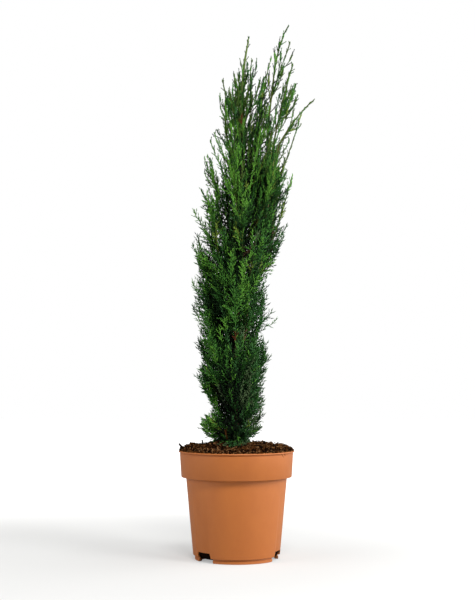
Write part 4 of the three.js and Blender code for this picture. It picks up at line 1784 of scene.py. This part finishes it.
@dataclass(frozen=True)
class Regions:
    """Where the crown's colours change: heights and places across, in millimetres, including where painted
    shade and painted light are dealt.
    """

    high: Pair = (300.0, 700.0)
    right: Pair = (-30.0, 50.0)
    # Below these heights the right side, where the key light falls, is dealt darker greens as painted shade;
    # within the next edges the left side is dealt paler greens as painted light.
    lit_side_ends: Pair = (540.0, 680.0)
    left_side: Edges = (300.0, 400.0, 640.0, 720.0)
    left_lump: Pair = (28.0, 44.0)
    left_lump_top: Pair = (238.0, 262.0)
    right_lump: Pair = (2.0, 22.0)
    right_lump_top: Pair = (280.0, 340.0)
    foot: Pair = (-40.0, -26.0)
    foot_top: Pair = (192.0, 206.0)
    olive: Pair = (540.0, 800.0)
    slender: Pair = (480.0, 780.0)
    # A hollow at the front of the lower crown, given painted shade instead of being grown.
    cleft: Edges = (-38.0, -24.0, 2.0, 16.0)
    cleft_top: Pair = (290.0, 360.0)


@dataclass
class Foliage:
    """Shoots, branchlets and leaf twigs of every mass."""

    growth: Growth
    limbwork: Limbwork
    greens: Sequence[bpy.types.Material]
    regions: Regions = Regions()
    leaf_girth: Pair = (0.8, 1.0)
    leaf_girth_jitter: Pair = (0.85, 1.15)
    leaf_faces: int = 6
    leaf_widest_at: float = 0.42
    shoot_radii: Pair = (0.75, 0.4)
    shoot_points: int = 6
    branchlet_radii: Pair = (0.5, 0.4)
    branchlet_points: int = 2
    twig_section: Section = Section(3, 0.0)
    # Painted shade: how deep in the crown, how near the cleft and how often at random a branchlet is given
    # the darkest greens.
    painted_shade_within: float = 0.68
    dark_less_at_top: float = 0.3
    painted_deep_shade_within: float = 0.55
    inmost_less_at_top: float = 0.5
    depth_jitter: float = 0.07
    cleft_painted_shade: float = 0.42
    strays: float = 0.3
    strays_less_lit: float = 0.6
    painted_shade_spots: float = 0.2
    painted_shade_spots_right: float = 0.14

    def orders(self) -> tuple[Order, Order, Order]:
        """The branchlets on the shoots, the leaf twigs on both, and the thicker ends of the shoots."""
        branchlet = Order(
            spacing=(3.9, 8.0), length=(21.0, 12.0), angle_foot=(44, 30), angle_tip=(28, 20),
            first=0.1, last=0.95, fewest=2, flatness=0.6, taper=0.45, most_of_parent=0.44, jitter=0.3,
            tips=True, tips_free=False,
        )
        leaf = Order(
            spacing=(2.9, 1.6), length=(9.4, 3.4), angle_foot=(40, 23), angle_tip=(25, 16),
            first=0.06, last=0.97, fewest=3, flatness=0.45, taper=0.35, most_of_parent=0.6, jitter=0.25,
            tips=True,
        )
        club = Order(
            spacing=(9.0, 2.0), length=(3.2, 4.6), angle_foot=(30, 38), angle_tip=(16, 22),
            first=0.74, last=0.98, fewest=5, flatness=1.0, taper=0.1, most_of_parent=0.6, jitter=0.2,
        )
        return branchlet, leaf, club

    def rightness(self, points: Array) -> Array:
        """How far points are to the lit right side, from 0 to 1."""
        centre = self.growth.trunk.point_at(points[:, 2])[:, 0]
        return smoothstep(points[:, 0] - centre, *self.regions.right)

    def deal_greens(self, shoots: Twigs) -> Array:
        """Deal a green to each shoot by where it stands: darker greens on the lower right, where the key
        light falls, are painted shade, and paler greens on the left are painted light.

        Args:
            shoots: The shoots.

        Returns:
            The number of each one's green.
        """
        across, _, height = shoots.at(1.0).T
        spot = self.regions
        high = smoothstep(height, *spot.high)
        right = self.rightness(shoots.at(1.0))
        painted_shade_right = right * (1 - smoothstep(height, *spot.lit_side_ends))
        left_side = (1 - right) * band(height, spot.left_side)
        left_lump = smoothstep(-across, *spot.left_lump) * (1 - smoothstep(height, *spot.left_lump_top))
        right_lump = smoothstep(across, *spot.right_lump) * (1 - smoothstep(height, *spot.right_lump_top))
        foot = smoothstep(across, *spot.foot) * (1 - smoothstep(height, *spot.foot_top))
        fresh = (0.1 + 0.2 * high * (0.4 + 0.6 * right)) * (1 - 0.7 * painted_shade_right)
        # How likely each green is everywhere, and what it gains or loses in each region; the right-side
        # terms add painted shade and the left-side terms add painted light
        weights = {
            Green.DEEP: 0.5 - 0.22 * high - 0.24 * left_side + 0.6 * painted_shade_right,
            Green.MID: 0.4,
            Green.FRESH: fresh + 1.2 * left_lump + 0.45 * left_side,
            Green.LIME: 0.02 + 0.16 * high * (right - 0.6 * painted_shade_right) + 0.4 * left_lump,
            Green.BLUE: 0.26 * (1 - 0.3 * right) * (1 - 0.8 * high) + 1.5 * right_lump + 0.8 * foot,
            Green.GREY: 0.04 + 1.0 * right_lump + 0.5 * foot,
            Green.OLIVE: 0.8 * smoothstep(height, *spot.olive),
        }
        table = np.zeros((len(shoots), len(Green)))
        for green, weight in weights.items():
            table[:, green.number] = weight
        chances = np.cumsum(table / table.sum(1, keepdims=True), axis=1)
        dealt = (self.growth.draw.random(len(shoots))[:, None] > chances).sum(1)
        dealt = np.where(shoots.share == self.growth.pale_mark, Green.FRESH.number, dealt)
        return np.where(shoots.share == self.growth.rust_mark, Green.RUST.number, dealt)

    def shaded(self, branchlets: Twigs) -> Array:
        """Paint shade: deal the darkest greens to the branchlets that stand deep in the crown, in the cleft
        at its front and in random spots.

        Args:
            branchlets: The branchlets.

        Returns:
            The number of each one's green.
        """
        tips = branchlets.at(1.0)
        count = len(tips)
        draw = self.growth.draw
        open_top = smoothstep(tips[:, 2], *self.regions.slender)
        depth = self.growth.outline.reach(tips) + draw.normal(0, self.depth_jitter, count)
        # The cleft is painted shade: its branchlets count as deeper in the crown.
        cleft = band(tips[:, 0], self.regions.cleft) * (1 - smoothstep(tips[:, 2], *self.regions.cleft_top))
        depth -= cleft * self.cleft_painted_shade
        painted_shade_right = self.rightness(tips) * (1 - open_top)
        # Random spots of painted shade, more of them on the right, where the key light falls.
        spots = draw.random(count) < self.painted_shade_spots + self.painted_shade_spots_right * painted_shade_right
        spots &= branchlets.green != Green.RUST.number
        # Painted shade for deep branchlets, and painted deeper shade for the deepest.
        inner = (depth + self.dark_less_at_top * open_top < self.painted_shade_within) | spots
        painted_deep_shade = depth + self.inmost_less_at_top * open_top < self.painted_deep_shade_within
        strayed = draw.random(count) < self.strays * (1 - self.strays_less_lit * painted_shade_right)
        other = draw.choice([green.number for green in (Green.DEEP, Green.MID, Green.FRESH)], count)
        green = np.where(inner, Green.SHADE.number, np.where(strayed, other, branchlets.green))
        return np.where(painted_deep_shade, Green.DEEP_SHADE.number, green)

    def leaf_shape(self) -> bpy.types.Object:
        """A leaf twig: a three-sided spindle of six faces, one unit long."""
        points = [(x, y, self.leaf_widest_at) for x, y in level_circle(3)]
        points += [(0.0, 0.0, 0.0), (0.0, 0.0, 1.0)]
        faces = []
        for side in range(3):
            other = (side + 1) % 3
            faces += [(3, other, side), (side, other, 4)]
        return new_object("leaf_shape", mesh_of("leaf_shape", points, faces))

    def leaf_recipe(self) -> Recipe:
        """The tree that stands a leaf twig on every point."""
        recipe = Recipe("leaf_twigs", [("Leaf", "Object")])
        inputs = {"Vector": recipe.attribute("heading", "FLOAT_VECTOR")}
        turn = recipe.node("FunctionNodeAlignRotationToVector", {"axis": "Z"}, inputs)
        girth = recipe.attribute("girth")
        inputs = {"X": girth, "Y": girth, "Z": recipe.attribute("length")}
        leaves = recipe.stand("Leaf", turn, recipe.node("ShaderNodeCombineXYZ", {}, inputs))
        leaves = recipe.node("GeometryNodeRealizeInstances", {}, {"Geometry": leaves})
        recipe.close(recipe.paint(leaves, self.greens, "green"))
        return recipe

    def zones(self, leaves: Twigs, masses: Sequence[Mass]) -> list[list[int]]:
        """Groups of masses, from the lowest up, whose leaves fit in one piece.

        Args:
            leaves: The leaf twigs.
            masses: The masses.

        Returns:
            The mass numbers of each group.
        """
        counts = np.bincount(leaves.mass, minlength=len(masses)) * self.leaf_faces
        groups: list[list[int]] = [[]]
        filled = 0
        for number in sorted(range(len(masses)), key=lambda n: masses[n].tip[2]):
            if filled + counts[number] > PIECE_TRIANGLES:
                groups.append([])
                filled = 0
            groups[-1].append(number)
            filled += counts[number]
        return groups

    @staticmethod
    def twig_rows(twigs: Twigs, radii: Pair, count: int) -> list[Line]:
        """Lines for a set of twigs.

        Args:
            twigs: The twigs.
            radii: Their radius at the foot and tip.
            count: How many points each has.

        Returns:
            Each line's points, radii and material number.
        """
        shares = np.linspace(0, 1, count)
        places = np.stack([twigs.at(np.full(len(twigs), share)) for share in shares], axis=1)
        return [(line, between(radii, shares), green) for line, green in zip(places, twigs.green)]

    def build(self, masses: Sequence[Mass]) -> None:
        """Make the twigs and leaves, zone by zone.

        Args:
            masses: The masses.
        """
        growth = self.growth
        branchlet, leaf, club = self.orders()
        shoots = growth.shoots(masses)
        shoots.green = self.deal_greens(shoots)
        high = smoothstep(shoots.at(1.0)[:, 2], *self.regions.slender)
        branchlets = growth.side_twigs(shoots, branchlet, high)
        branchlets.green = self.shaded(branchlets)
        leaves = [growth.side_twigs(shoots, leaf, high), growth.side_twigs(shoots, club, high)]
        high = smoothstep(branchlets.at(1.0)[:, 2], *self.regions.slender)
        leaves = Twigs.join([*leaves, growth.side_twigs(branchlets, leaf, high)])
        log.info("%d shoots, %d branchlets, %d leaf twigs", len(shoots), len(branchlets), len(leaves))
        recipe = self.leaf_recipe()
        shape = self.leaf_shape()
        twig = self.limbwork.recipe("green_twig", self.greens)
        for step, group in enumerate(self.zones(leaves, masses), start=1):
            nodes = [masses[number].name for number in group]
            some = leaves.where(np.isin(leaves.mass, group))
            girth = between(self.leaf_girth, smoothstep(some.root[:, 2], *self.regions.slender))
            girth = girth * between(self.leaf_girth_jitter, growth.draw.random(len(some)))
            values = {
                "heading": some.heading,
                "length": some.size * MM,
                "girth": girth * MM,
                "green": some.green,
            }
            start = point_mesh("leaf_points", some.root * MM, values)
            hand_over(recipe.make(f"leaves_{step}", start, {"Leaf": shape}), nodes)
            some = shoots.where(np.isin(shoots.mass, group))
            rows = self.twig_rows(some, self.shoot_radii, self.shoot_points)
            some = branchlets.where(np.isin(branchlets.mass, group))
            rows += self.twig_rows(some, self.branchlet_radii, self.branchlet_points)
            piece = self.limbwork.sweep(twig, f"twigs_{step}", rows, self.twig_section)
            hand_over(piece, nodes)
        bpy.data.objects.remove(shape)


# Pot and soil


@dataclass
class Pot:
    """The thin-walled plastic pot, in millimetres."""

    material: bpy.types.Material
    height: float = 176.0
    lip_radius: float = 95.0
    lip_depth: float = 2.7
    band_top_radius: float = 92.9
    band_foot_radius: float = 90.6
    band_foot_height: float = 134.0
    body_top_radius: float = 82.5
    body_top_height: float = 127.5
    body_foot_radius: float = 71.0
    body_foot_height: float = 6.5
    ring_radius: float = 66.5
    ring_width: float = 4.0
    groove_height: float = 4.4
    disc_radius: float = 22.0
    underside: float = 2.6
    wall: float = 1.6
    segments: int = 144
    notch_angles: tuple[float, ...] = (-48.0, 72.0, 192.0)
    notch_height: float = 16.0
    notch_foot_width: float = 35.0
    notch_top_width: float = 28.0
    notch_reach: Pair = (38.5, 81.0)
    edge_softness: float = 0.25
    edge_angle: float = math.radians(50)
    crease_angle: float = math.radians(40)

    def profile(self) -> list[Pair]:
        """The wall's section from the middle of the underside round to the middle of the floor."""
        lip_foot = self.height - self.lip_depth
        floor_top = self.underside + self.wall
        ring_inner = self.ring_radius - self.ring_width
        return [
            (0, 0),
            (self.disc_radius, 0),
            (self.disc_radius + self.underside, self.underside),
            (ring_inner - self.underside / 2, self.underside),
            (ring_inner, 0.3),
            (ring_inner + 0.4, 0),
            (self.ring_radius + 0.8, 0),
            (self.ring_radius + 1.3, 0.5),
            (self.ring_radius + 1.5, self.groove_height - 0.5),
            (self.ring_radius + 1.1, self.groove_height),
            (self.ring_radius + 0.3, self.groove_height + 0.4),
            (self.ring_radius + 0.3, self.body_foot_height + 0.6),
            (self.body_foot_radius - 1.1, self.body_foot_height + 0.8),
            (self.body_foot_radius - 0.3, self.body_foot_height + 1.2),
            (self.body_foot_radius, self.body_foot_height + 2.0),
            (self.body_top_radius - 0.1, self.body_top_height + 1.6),
            (self.body_top_radius + 0.1, self.band_foot_height - 1.9),
            (self.body_top_radius + 1.0, self.band_foot_height - 1.2),
            (self.band_foot_radius - 1.6, self.band_foot_height - 1.3),
            (self.band_foot_radius - 0.5, self.band_foot_height - 1.0),
            (self.band_foot_radius, self.band_foot_height - 0.2),
            (self.band_top_radius, lip_foot - 2.0),
            (self.band_top_radius - 0.5, lip_foot - 1.5),
            (self.band_top_radius - 0.8, lip_foot - 0.8),
            (self.band_top_radius - 0.7, lip_foot),
            (self.lip_radius - 0.5, lip_foot + 0.1),
            (self.lip_radius - 0.1, lip_foot + 0.5),
            (self.lip_radius, lip_foot + 0.9),
            (self.lip_radius - 0.4, lip_foot + 1.6),
            (self.lip_radius - 1.2, self.height - 0.4),
            (self.lip_radius - 2.2, self.height),
            (self.band_top_radius - self.wall + 0.5, self.height),
            (self.band_top_radius - self.wall, self.height - 0.5),
            (self.band_foot_radius - self.wall, self.band_foot_height + self.wall),
            (self.body_top_radius - self.wall, self.body_top_height + self.wall),
            (self.body_foot_radius - self.wall, self.body_foot_height + 5.5),
            (self.ring_radius - 2.2, floor_top + 0.8),
            (self.ring_radius - 4.0, floor_top),
            (0, floor_top),
        ]

    def shell(self) -> bpy.types.Object:
        """The turned pot, before its notches are cut."""
        circle = level_circle(self.segments)
        (_, foot), *rows, (_, top) = self.profile()
        rings = [np.column_stack([circle * radius, np.full(len(circle), height)]) for radius, height in rows]
        return turned("pot_shell", foot, rings, top)

    def notch(self, angle: float) -> bpy.types.Object:
        """One wedge that cuts a drain notch.

        Args:
            angle: Where it is, in degrees round from the front.

        Returns:
            The wedge.
        """
        foot, top = self.notch_foot_width / 2, self.notch_top_width / 2
        section = [(-foot, -1.0), (foot, -1.0), (top, self.notch_height), (-top, self.notch_height)]
        points = [Vector((x, -depth, z)) * MM for depth in self.notch_reach for x, z in section]
        faces = [(0, 1, 2, 3), (7, 6, 5, 4)]
        faces += [(i, (i + 1) % 4, 4 + (i + 1) % 4, 4 + i) for i in range(4)]
        cutter = new_object("notch", mesh_of("notch", points, faces, smooth=False))
        cutter.data.transform(Matrix.Rotation(math.radians(angle), 4, "Z"))
        return cutter

    def build(self) -> None:
        """Make the pot and put it in the frame."""
        shell = self.shell()
        cutters = [self.notch(angle) for angle in self.notch_angles]
        for number, cutter in enumerate(cutters):
            cut = shell.modifiers.new(f"notch_{number}", "BOOLEAN")
            cut.operation = "DIFFERENCE"
            cut.solver = "EXACT"
            cut.object = cutter
        soften = shell.modifiers.new("edges", "BEVEL")
        soften.limit_method = "ANGLE"
        soften.angle_limit = self.edge_angle
        soften.width = self.edge_softness * MM
        soften.segments = 2
        depsgraph = bpy.context.evaluated_depsgraph_get()
        mesh = bpy.data.meshes.new_from_object(shell.evaluated_get(depsgraph), depsgraph=depsgraph)
        mesh.name = "pot_wall"
        for spare in [shell, *cutters]:
            bpy.data.objects.remove(spare)
        mesh.materials.clear()
        mesh.materials.append(self.material)
        mesh.polygons.foreach_set("use_smooth", [True] * len(mesh.polygons))
        mesh.set_sharp_from_angle(angle=self.crease_angle)
        hand_over(new_object("pot_wall", mesh), ["pot"])


@dataclass
class Soil:
    """The heaped soil with its crumbs and fibres, in millimetres."""

    shape: SoilShape
    bed: bpy.types.Material
    crumbs: Sequence[bpy.types.Material]
    limbwork: Limbwork
    wall: tuple[Pair, ...] = (
        (61.5, 4.6), (63.9, 5.7), (68.8, 12.2), (80.2, 129.6), (88.4, 136.1), (90.2, 171.5),
    )
    top_radius: float = 90.4
    segments: int = 120
    rings: int = 46
    crumb_shapes: tuple[tuple[str, Triple], ...] = (
        ("Round", (1.0, 1.15, 0.85)), ("Long", (0.6, 2.1, 0.55)), ("Flat", (1.3, 1.5, 0.4)),
    )
    crumb_shares: Triple = (0.54, 0.33, 0.13)
    crumb_unevenness: float = 0.32
    crumb_reach: float = 89.0
    crumb_sizes: Pair = (0.45, 2.9)
    crumb_spread: Pair = (0.05, 0.42)
    crumb_half_width: float = 1.6
    crumb_depths: Pair = (-0.2, 0.75)
    trunk_reach: float = 12.0
    size_at_trunk: float = 0.6
    crumb_count: int = 5200
    spilt_count: int = 1900
    fibre_count: int = 260
    fibre_reach: float = 86.0
    fibre_most_reach: float = 89.5
    fibre_length: Pair = (6.0, 20.0)
    fibre_bend: float = 1.2
    fibre_points: int = 6
    fibre_radii: Pair = (0.34, 0.16)
    fibre_girths: Pair = (0.7, 1.3)
    fibre_lift: float = 1.6
    fibre_lifts: Pair = (-0.4, 1.0)
    fibre_arch: float = 1.8
    bits_section: Section = Section(5, 0.5)
    twig_bend: float = 0.3
    rim_twigs: tuple[tuple[Triple, Triple, Triple, Triple, Pair, int], ...] = (
        ((-82, -16, 176), (-0.6, -0.2, 0.7), (-93.4, -20, 188), (-0.5, 0, 1), (2.3, 1.4), 8),
        ((-84, -20, 176), (-0.8, -0.2, 0.5), (-91.5, -24, 182.5), (-0.8, 0, 0.8), (2.0, 1.3), 6),
        ((-55, -8, 184), (0.1, 0, 1), (-56.5, -8, 193.5), (-0.2, 0, 1), (1.4, 1.0), 6),
    )
    hairs: tuple[Triple, ...] = ((71, 8, 4), (78, 10, -4), (77, 6, 1))
    hair_radii: Pair = (0.4, 0.25)
    hair_points: int = 9
    hair_reach: float = 94.0
    hair_start: Pair = (0.93, 178.0)
    hair_crest: float = 176.8
    hair_fall: Triple = (0.6, -0.6, -3.0)
    hair_hang: float = 1.002
    lip_reach: Pair = (88.0, 93.6)
    lip_edge: float = 94.9
    lip_top: float = 176.0
    pale_twigs: tuple[tuple[float, ...], ...] = (
        (-15, -36, 196, -17.5, -42, 207),
        (-17, -41, 203, -19.5, -42, 212),
        (-17.5, -42, 205, -15.5, -43, 213),
    )
    pale_radii: Pair = (0.8, 0.5)
    pale_points: int = 8
    pale_bow: float = 3.0
    seed: int = 19

    def bed_solid(self) -> bpy.types.Object:
        """The closed bed that the crumbs lie on."""
        circle = level_circle(self.segments)
        rings = [np.column_stack([circle * radius, np.full(len(circle), z)]) for radius, z in self.wall]
        for ring in range(1, self.rings):
            flat = circle * (self.top_radius * (1 - ring / self.rings))
            rings.append(np.column_stack([flat, self.shape.height(flat[:, 0], flat[:, 1])]))
        return turned("soil_bed", self.wall[0][1], rings, self.shape.seat_height)

    def crumb(self, name: str, stretch: Triple, seed: int) -> bpy.types.Object:
        """An uneven lump of twenty faces.

        Args:
            name: Its name.
            stretch: Its size along X, Y and Z.
            seed: What its unevenness is drawn from.

        Returns:
            The lump.
        """
        draw = np.random.default_rng(seed)
        work = bmesh.new()
        bmesh.ops.create_icosphere(work, subdivisions=1, radius=1.0)
        for vertex in work.verts:
            vertex.co = vertex.co * (1 + draw.uniform(-self.crumb_unevenness, self.crumb_unevenness))
            vertex.co = Vector(a * b for a, b in zip(vertex.co, stretch))
        mesh = bpy.data.meshes.new(name)
        work.to_mesh(mesh)
        work.free()
        return new_object(name, mesh)

    def crumb_points(self) -> bpy.types.Mesh:
        """Where the crumbs lie, with their size, turn, shape and shade."""
        draw = np.random.default_rng(self.seed)
        count = self.crumb_count + self.spilt_count
        spilt = np.arange(count) >= self.crumb_count
        out = np.where(spilt, draw.random(count) ** 0.5, 0.0)
        inside = self.crumb_reach * np.sqrt(draw.random(count))
        reach = np.where(spilt, between(self.lip_reach, out), inside)
        turn = draw.random(count) * 2 * math.pi
        x, y = reach * np.cos(turn), reach * np.sin(turn)
        size = np.exp(draw.normal(*self.crumb_spread, count)).clip(*self.crumb_sizes)
        most = (self.lip_edge - reach) / self.crumb_half_width
        size = np.where(reach < self.trunk_reach, size * self.size_at_trunk, np.minimum(size, most))
        height = self.shape.height(x, y)
        height += (self.lip_top - height) * out + size * draw.uniform(*self.crumb_depths, count)
        flat_kind = len(self.crumb_shapes) - 1
        values = {
            "size": size * MM,
            "turn": draw.uniform(-math.pi, math.pi, (count, 3)),
            "kind": np.where(spilt, flat_kind, draw.integers(0, len(self.crumb_shapes), count)),
            "green": draw.choice(len(self.crumbs), count, p=self.crumb_shares),
        }
        return point_mesh("crumb_points", np.column_stack([x, y, height]) * MM, values)

    def crumb_recipe(self) -> Recipe:
        """The tree that lays a crumb on every point."""
        recipe = Recipe("soil_crumbs", [(title, "Object") for title, _ in self.crumb_shapes])
        size = recipe.attribute("size")
        turn = recipe.node("FunctionNodeEulerToRotation", {}, {0: recipe.attribute("turn", "FLOAT_VECTOR")})
        scale = recipe.node("ShaderNodeCombineXYZ", {}, {"X": size, "Y": size, "Z": size})
        join = recipe.tree.nodes.new("GeometryNodeJoinGeometry")
        for number, (title, _) in enumerate(self.crumb_shapes):
            laid = recipe.stand(title, turn, scale, Selection=recipe.tagged("kind", number))
            recipe.tree.links.new(laid.socket, join.inputs[0])
        joined = Wire(recipe, join.outputs[0])
        solid = recipe.node("GeometryNodeRealizeInstances", {}, {"Geometry": joined})
        recipe.close(recipe.paint(solid, self.crumbs, "green"))
        return recipe

    def fibres(self) -> list[Line]:
        """Fine roots and coir fibres that lie on the soil."""
        draw = np.random.default_rng(self.seed + 1)
        shares = np.linspace(0, 1, self.fibre_points)
        rows = []
        for _ in range(self.fibre_count):
            reach = self.fibre_reach * math.sqrt(draw.random())
            turn = draw.random() * 2 * math.pi
            angles = draw.random() * 2 * math.pi + draw.normal(0, self.fibre_bend) * shares
            step = draw.uniform(*self.fibre_length) / (self.fibre_points - 1)
            steps = np.stack([np.cos(angles), np.sin(angles)], axis=1) * step
            flat = np.array([reach * math.cos(turn), reach * math.sin(turn)]) + np.cumsum(steps, axis=0)
            most = self.fibre_most_reach / np.maximum(np.linalg.norm(flat, axis=1), 1)
            flat *= np.minimum(1, most)[:, None]
            lift = self.fibre_lift + self.fibre_arch * np.sin(shares * math.pi) * draw.random()
            lift += draw.uniform(*self.fibre_lifts)
            points = np.column_stack([flat, self.shape.height(flat[:, 0], flat[:, 1]) + lift])
            girth = between(self.fibre_radii, shares) * draw.uniform(*self.fibre_girths)
            rows.append((points, girth, draw.integers(1, len(self.crumbs))))
        return rows

    def rim_bits(self) -> list[Line]:
        """The forked bark twig at the left rim, a stub, pale twigs, and root hairs over the lip."""
        rows = []
        for foot, set_out, tip, arrive, radii, count in self.rim_twigs:
            foot, set_out, tip, arrive = np.array([foot, set_out, tip, arrive], dtype=float)
            twig = Limb.between(foot, unit(set_out), tip, unit(arrive), self.twig_bend)
            rows.append((*self.limbwork.taper(twig, radii, count), 0))
        for foot, tip in np.array(self.pale_twigs).reshape(-1, 2, 3):
            bow = UP * self.pale_bow
            twig = Limb.between(foot, unit(tip - foot + bow), tip, unit(tip - foot - bow), self.twig_bend)
            rows.append((*self.limbwork.taper(twig, self.pale_radii, self.pale_points), 1))
        for x, drop, sway in self.hairs:
            y = -math.sqrt(self.hair_reach ** 2 - x ** 2)
            inward, height = self.hair_start
            start = np.array([x * inward, y * inward, height])
            over = np.array([x, y, self.hair_crest])
            end = np.array([x * self.hair_hang + sway, y * self.hair_hang, self.lip_top - drop])
            hair = Limb([start, over, over + np.array(self.hair_fall), end])
            rows.append((*self.limbwork.taper(hair, self.hair_radii, self.hair_points), 1))
        return rows

    def build(self) -> None:
        """Make the bed, crumbs, fibres and bits."""
        bed = self.bed_solid()
        bed.data.materials.append(self.bed)
        hand_over(bed, ["soil"])
        shapes = {
            title: self.crumb(f"crumb_{title.lower()}", stretch, seed)
            for seed, (title, stretch) in enumerate(self.crumb_shapes, start=3)
        }
        crumbs = self.crumb_recipe().make("soil_crumbs", self.crumb_points(), shapes)
        hand_over(crumbs, ["soil"])
        for spare in shapes.values():
            bpy.data.objects.remove(spare)
        recipe = self.limbwork.recipe("soil_fibre", self.crumbs)
        rows = self.fibres() + self.rim_bits()
        fibres = self.limbwork.sweep(recipe, "soil_fibres", rows, self.bits_section)
        hand_over(fibres, ["soil"])


# Studio


@dataclass
class Studio:
    """Pale floor, soft light and the camera."""

    distance: float = 2.0
    eye_height: float = 0.3
    pitch: float = math.radians(3.52)
    side: float = 0.0016
    focal_pixels: float = 1210.5
    frame_height: int = 600
    sensor: float = 36.0
    ambient: float = 0.15
    left_glow: float = 0.75
    right_glow: float = 3.3
    glow_edges: Pair = (0.4, 0.95)
    backdrop: float = 1.0
    floor_half: float = 6.0
    lamps: tuple[tuple[str, Triple, Triple, float, float], ...] = (
        ("key", (3.0, -2.3, 2.6), (0.0, 0.0, 0.4), 1.6, 112.0),
        ("top", (0.4, -2.7, 3.5), (0.0, 0.0, 0.4), 1.1, 100.0),
        ("fill", (-3.4, -1.4, 1.5), (0.0, 0.0, 0.3), 2.6, 54.0),
    )

    def build_camera(self) -> None:
        """Set up the camera at the photograph's angle."""
        data = bpy.data.cameras.new("camera")
        data.sensor_fit = "VERTICAL"
        data.sensor_height = self.sensor
        data.lens = self.focal_pixels * self.sensor / self.frame_height
        camera = bpy.data.objects.new("camera", data)
        camera.location = (self.side, -self.distance, self.eye_height)
        camera.rotation_euler = (math.pi / 2 + self.pitch, 0.0, 0.0)
        bpy.context.scene.collection.objects.link(camera)
        bpy.context.scene.camera = camera

    @staticmethod
    def area_light(name: str, place: Triple, aim: Triple, size: float, power: float) -> None:
        """Add a square soft light.

        Args:
            name: Its name.
            place: Where it is.
            aim: The point that it faces.
            size: The length of its side.
            power: Its power in watts.
        """
        data = bpy.data.lights.new(name, "AREA")
        data.shape = "SQUARE"
        data.size = size
        data.energy = power
        lamp = bpy.data.objects.new(name, data)
        lamp.location = place
        lamp.rotation_euler = (Vector(place) - Vector(aim)).to_track_quat("Z", "Y").to_euler()
        bpy.context.scene.collection.objects.link(lamp)

    def glow(self, sky: Graph, toward: Wire, strength: float) -> Wire:
        """The surroundings' light from one side.

        Args:
            sky: The world's tree.
            toward: How far a direction points to that side, from 0 to 1.
            strength: The light straight from that side.

        Returns:
            The light.
        """
        return sky.ease(toward, self.glow_edges, (self.ambient / 2, strength))

    def build_light(self) -> None:
        """Set up the lights and the white surroundings."""
        world = bpy.data.worlds.new("studio")
        world.use_nodes = True
        sky = Graph(world.node_tree)
        seen = sky.node("ShaderNodeLightPath", out="Is Camera Ray")
        toward = sky.node("ShaderNodeTexCoord", out="Generated")
        sideways = sky.node("ShaderNodeSeparateXYZ", {}, {0: toward}, "X")
        around = self.glow(sky, sideways, self.right_glow) + self.glow(sky, sideways * -1.0, self.left_glow)
        strength = around + (self.backdrop - around) * seen
        white = sky.node("ShaderNodeBackground", {}, {"Color": (1.0, 1.0, 1.0, 1.0), "Strength": strength})
        ending = sky.tree.nodes.new("ShaderNodeOutputWorld")
        sky.tree.links.new(white.socket, ending.inputs["Surface"])
        bpy.context.scene.world = world
        bpy.context.scene.view_settings.view_transform = "Standard"
        for lamp in self.lamps:
            self.area_light(*lamp)

    def build_floor(self) -> None:
        """Lay the floor."""
        half = self.floor_half
        corners = [(-half, -half, 0.0), (half, -half, 0.0), (half, half, 0.0), (-half, half, 0.0)]
        floor = new_object("floor", mesh_of("floor", corners, [(0, 1, 2, 3)], smooth=False))
        floor.data.materials.append(FloorFinish().material())

    def build(self) -> None:
        """Set up the whole studio."""
        self.build_camera()
        self.build_light()
        self.build_floor()


def main() -> None:
    """Build the tree, its pot and the studio."""
    logging.basicConfig(level=logging.INFO, format="%(name)s: %(message)s")
    Studio().build()
    bark = BarkFinish().material()
    greens = [LeafFinish().material(green) for green in Green]
    soils = [
        PeatFinish("peat_dark", "060201", "1a0c04").material(),
        PeatFinish("peat_brown", "180a02", "5c3719").material(),
        PeatFinish("coir", "3a2210", "9b724b").material(),
    ]
    trunk = Trunk()
    outline = Outline()
    soil_shape = SoilShape()
    fine = Outline(rows=FINE_ROWS)
    limbwork = Limbwork(trunk, fine, bark)
    masses = CrownPlan(trunk, outline).masses()
    Pot(PlasticFinish().material()).build()
    Soil(soil_shape, soils[0], soils, limbwork).build()
    growth = Growth(trunk, soil_shape, fine)
    limbwork.build(masses, np.array(EDGE_SHOOTS, dtype=float)[:, :3], greens)
    Foliage(growth, limbwork, greens).build(masses)


if __name__ == "__main__":
    main()
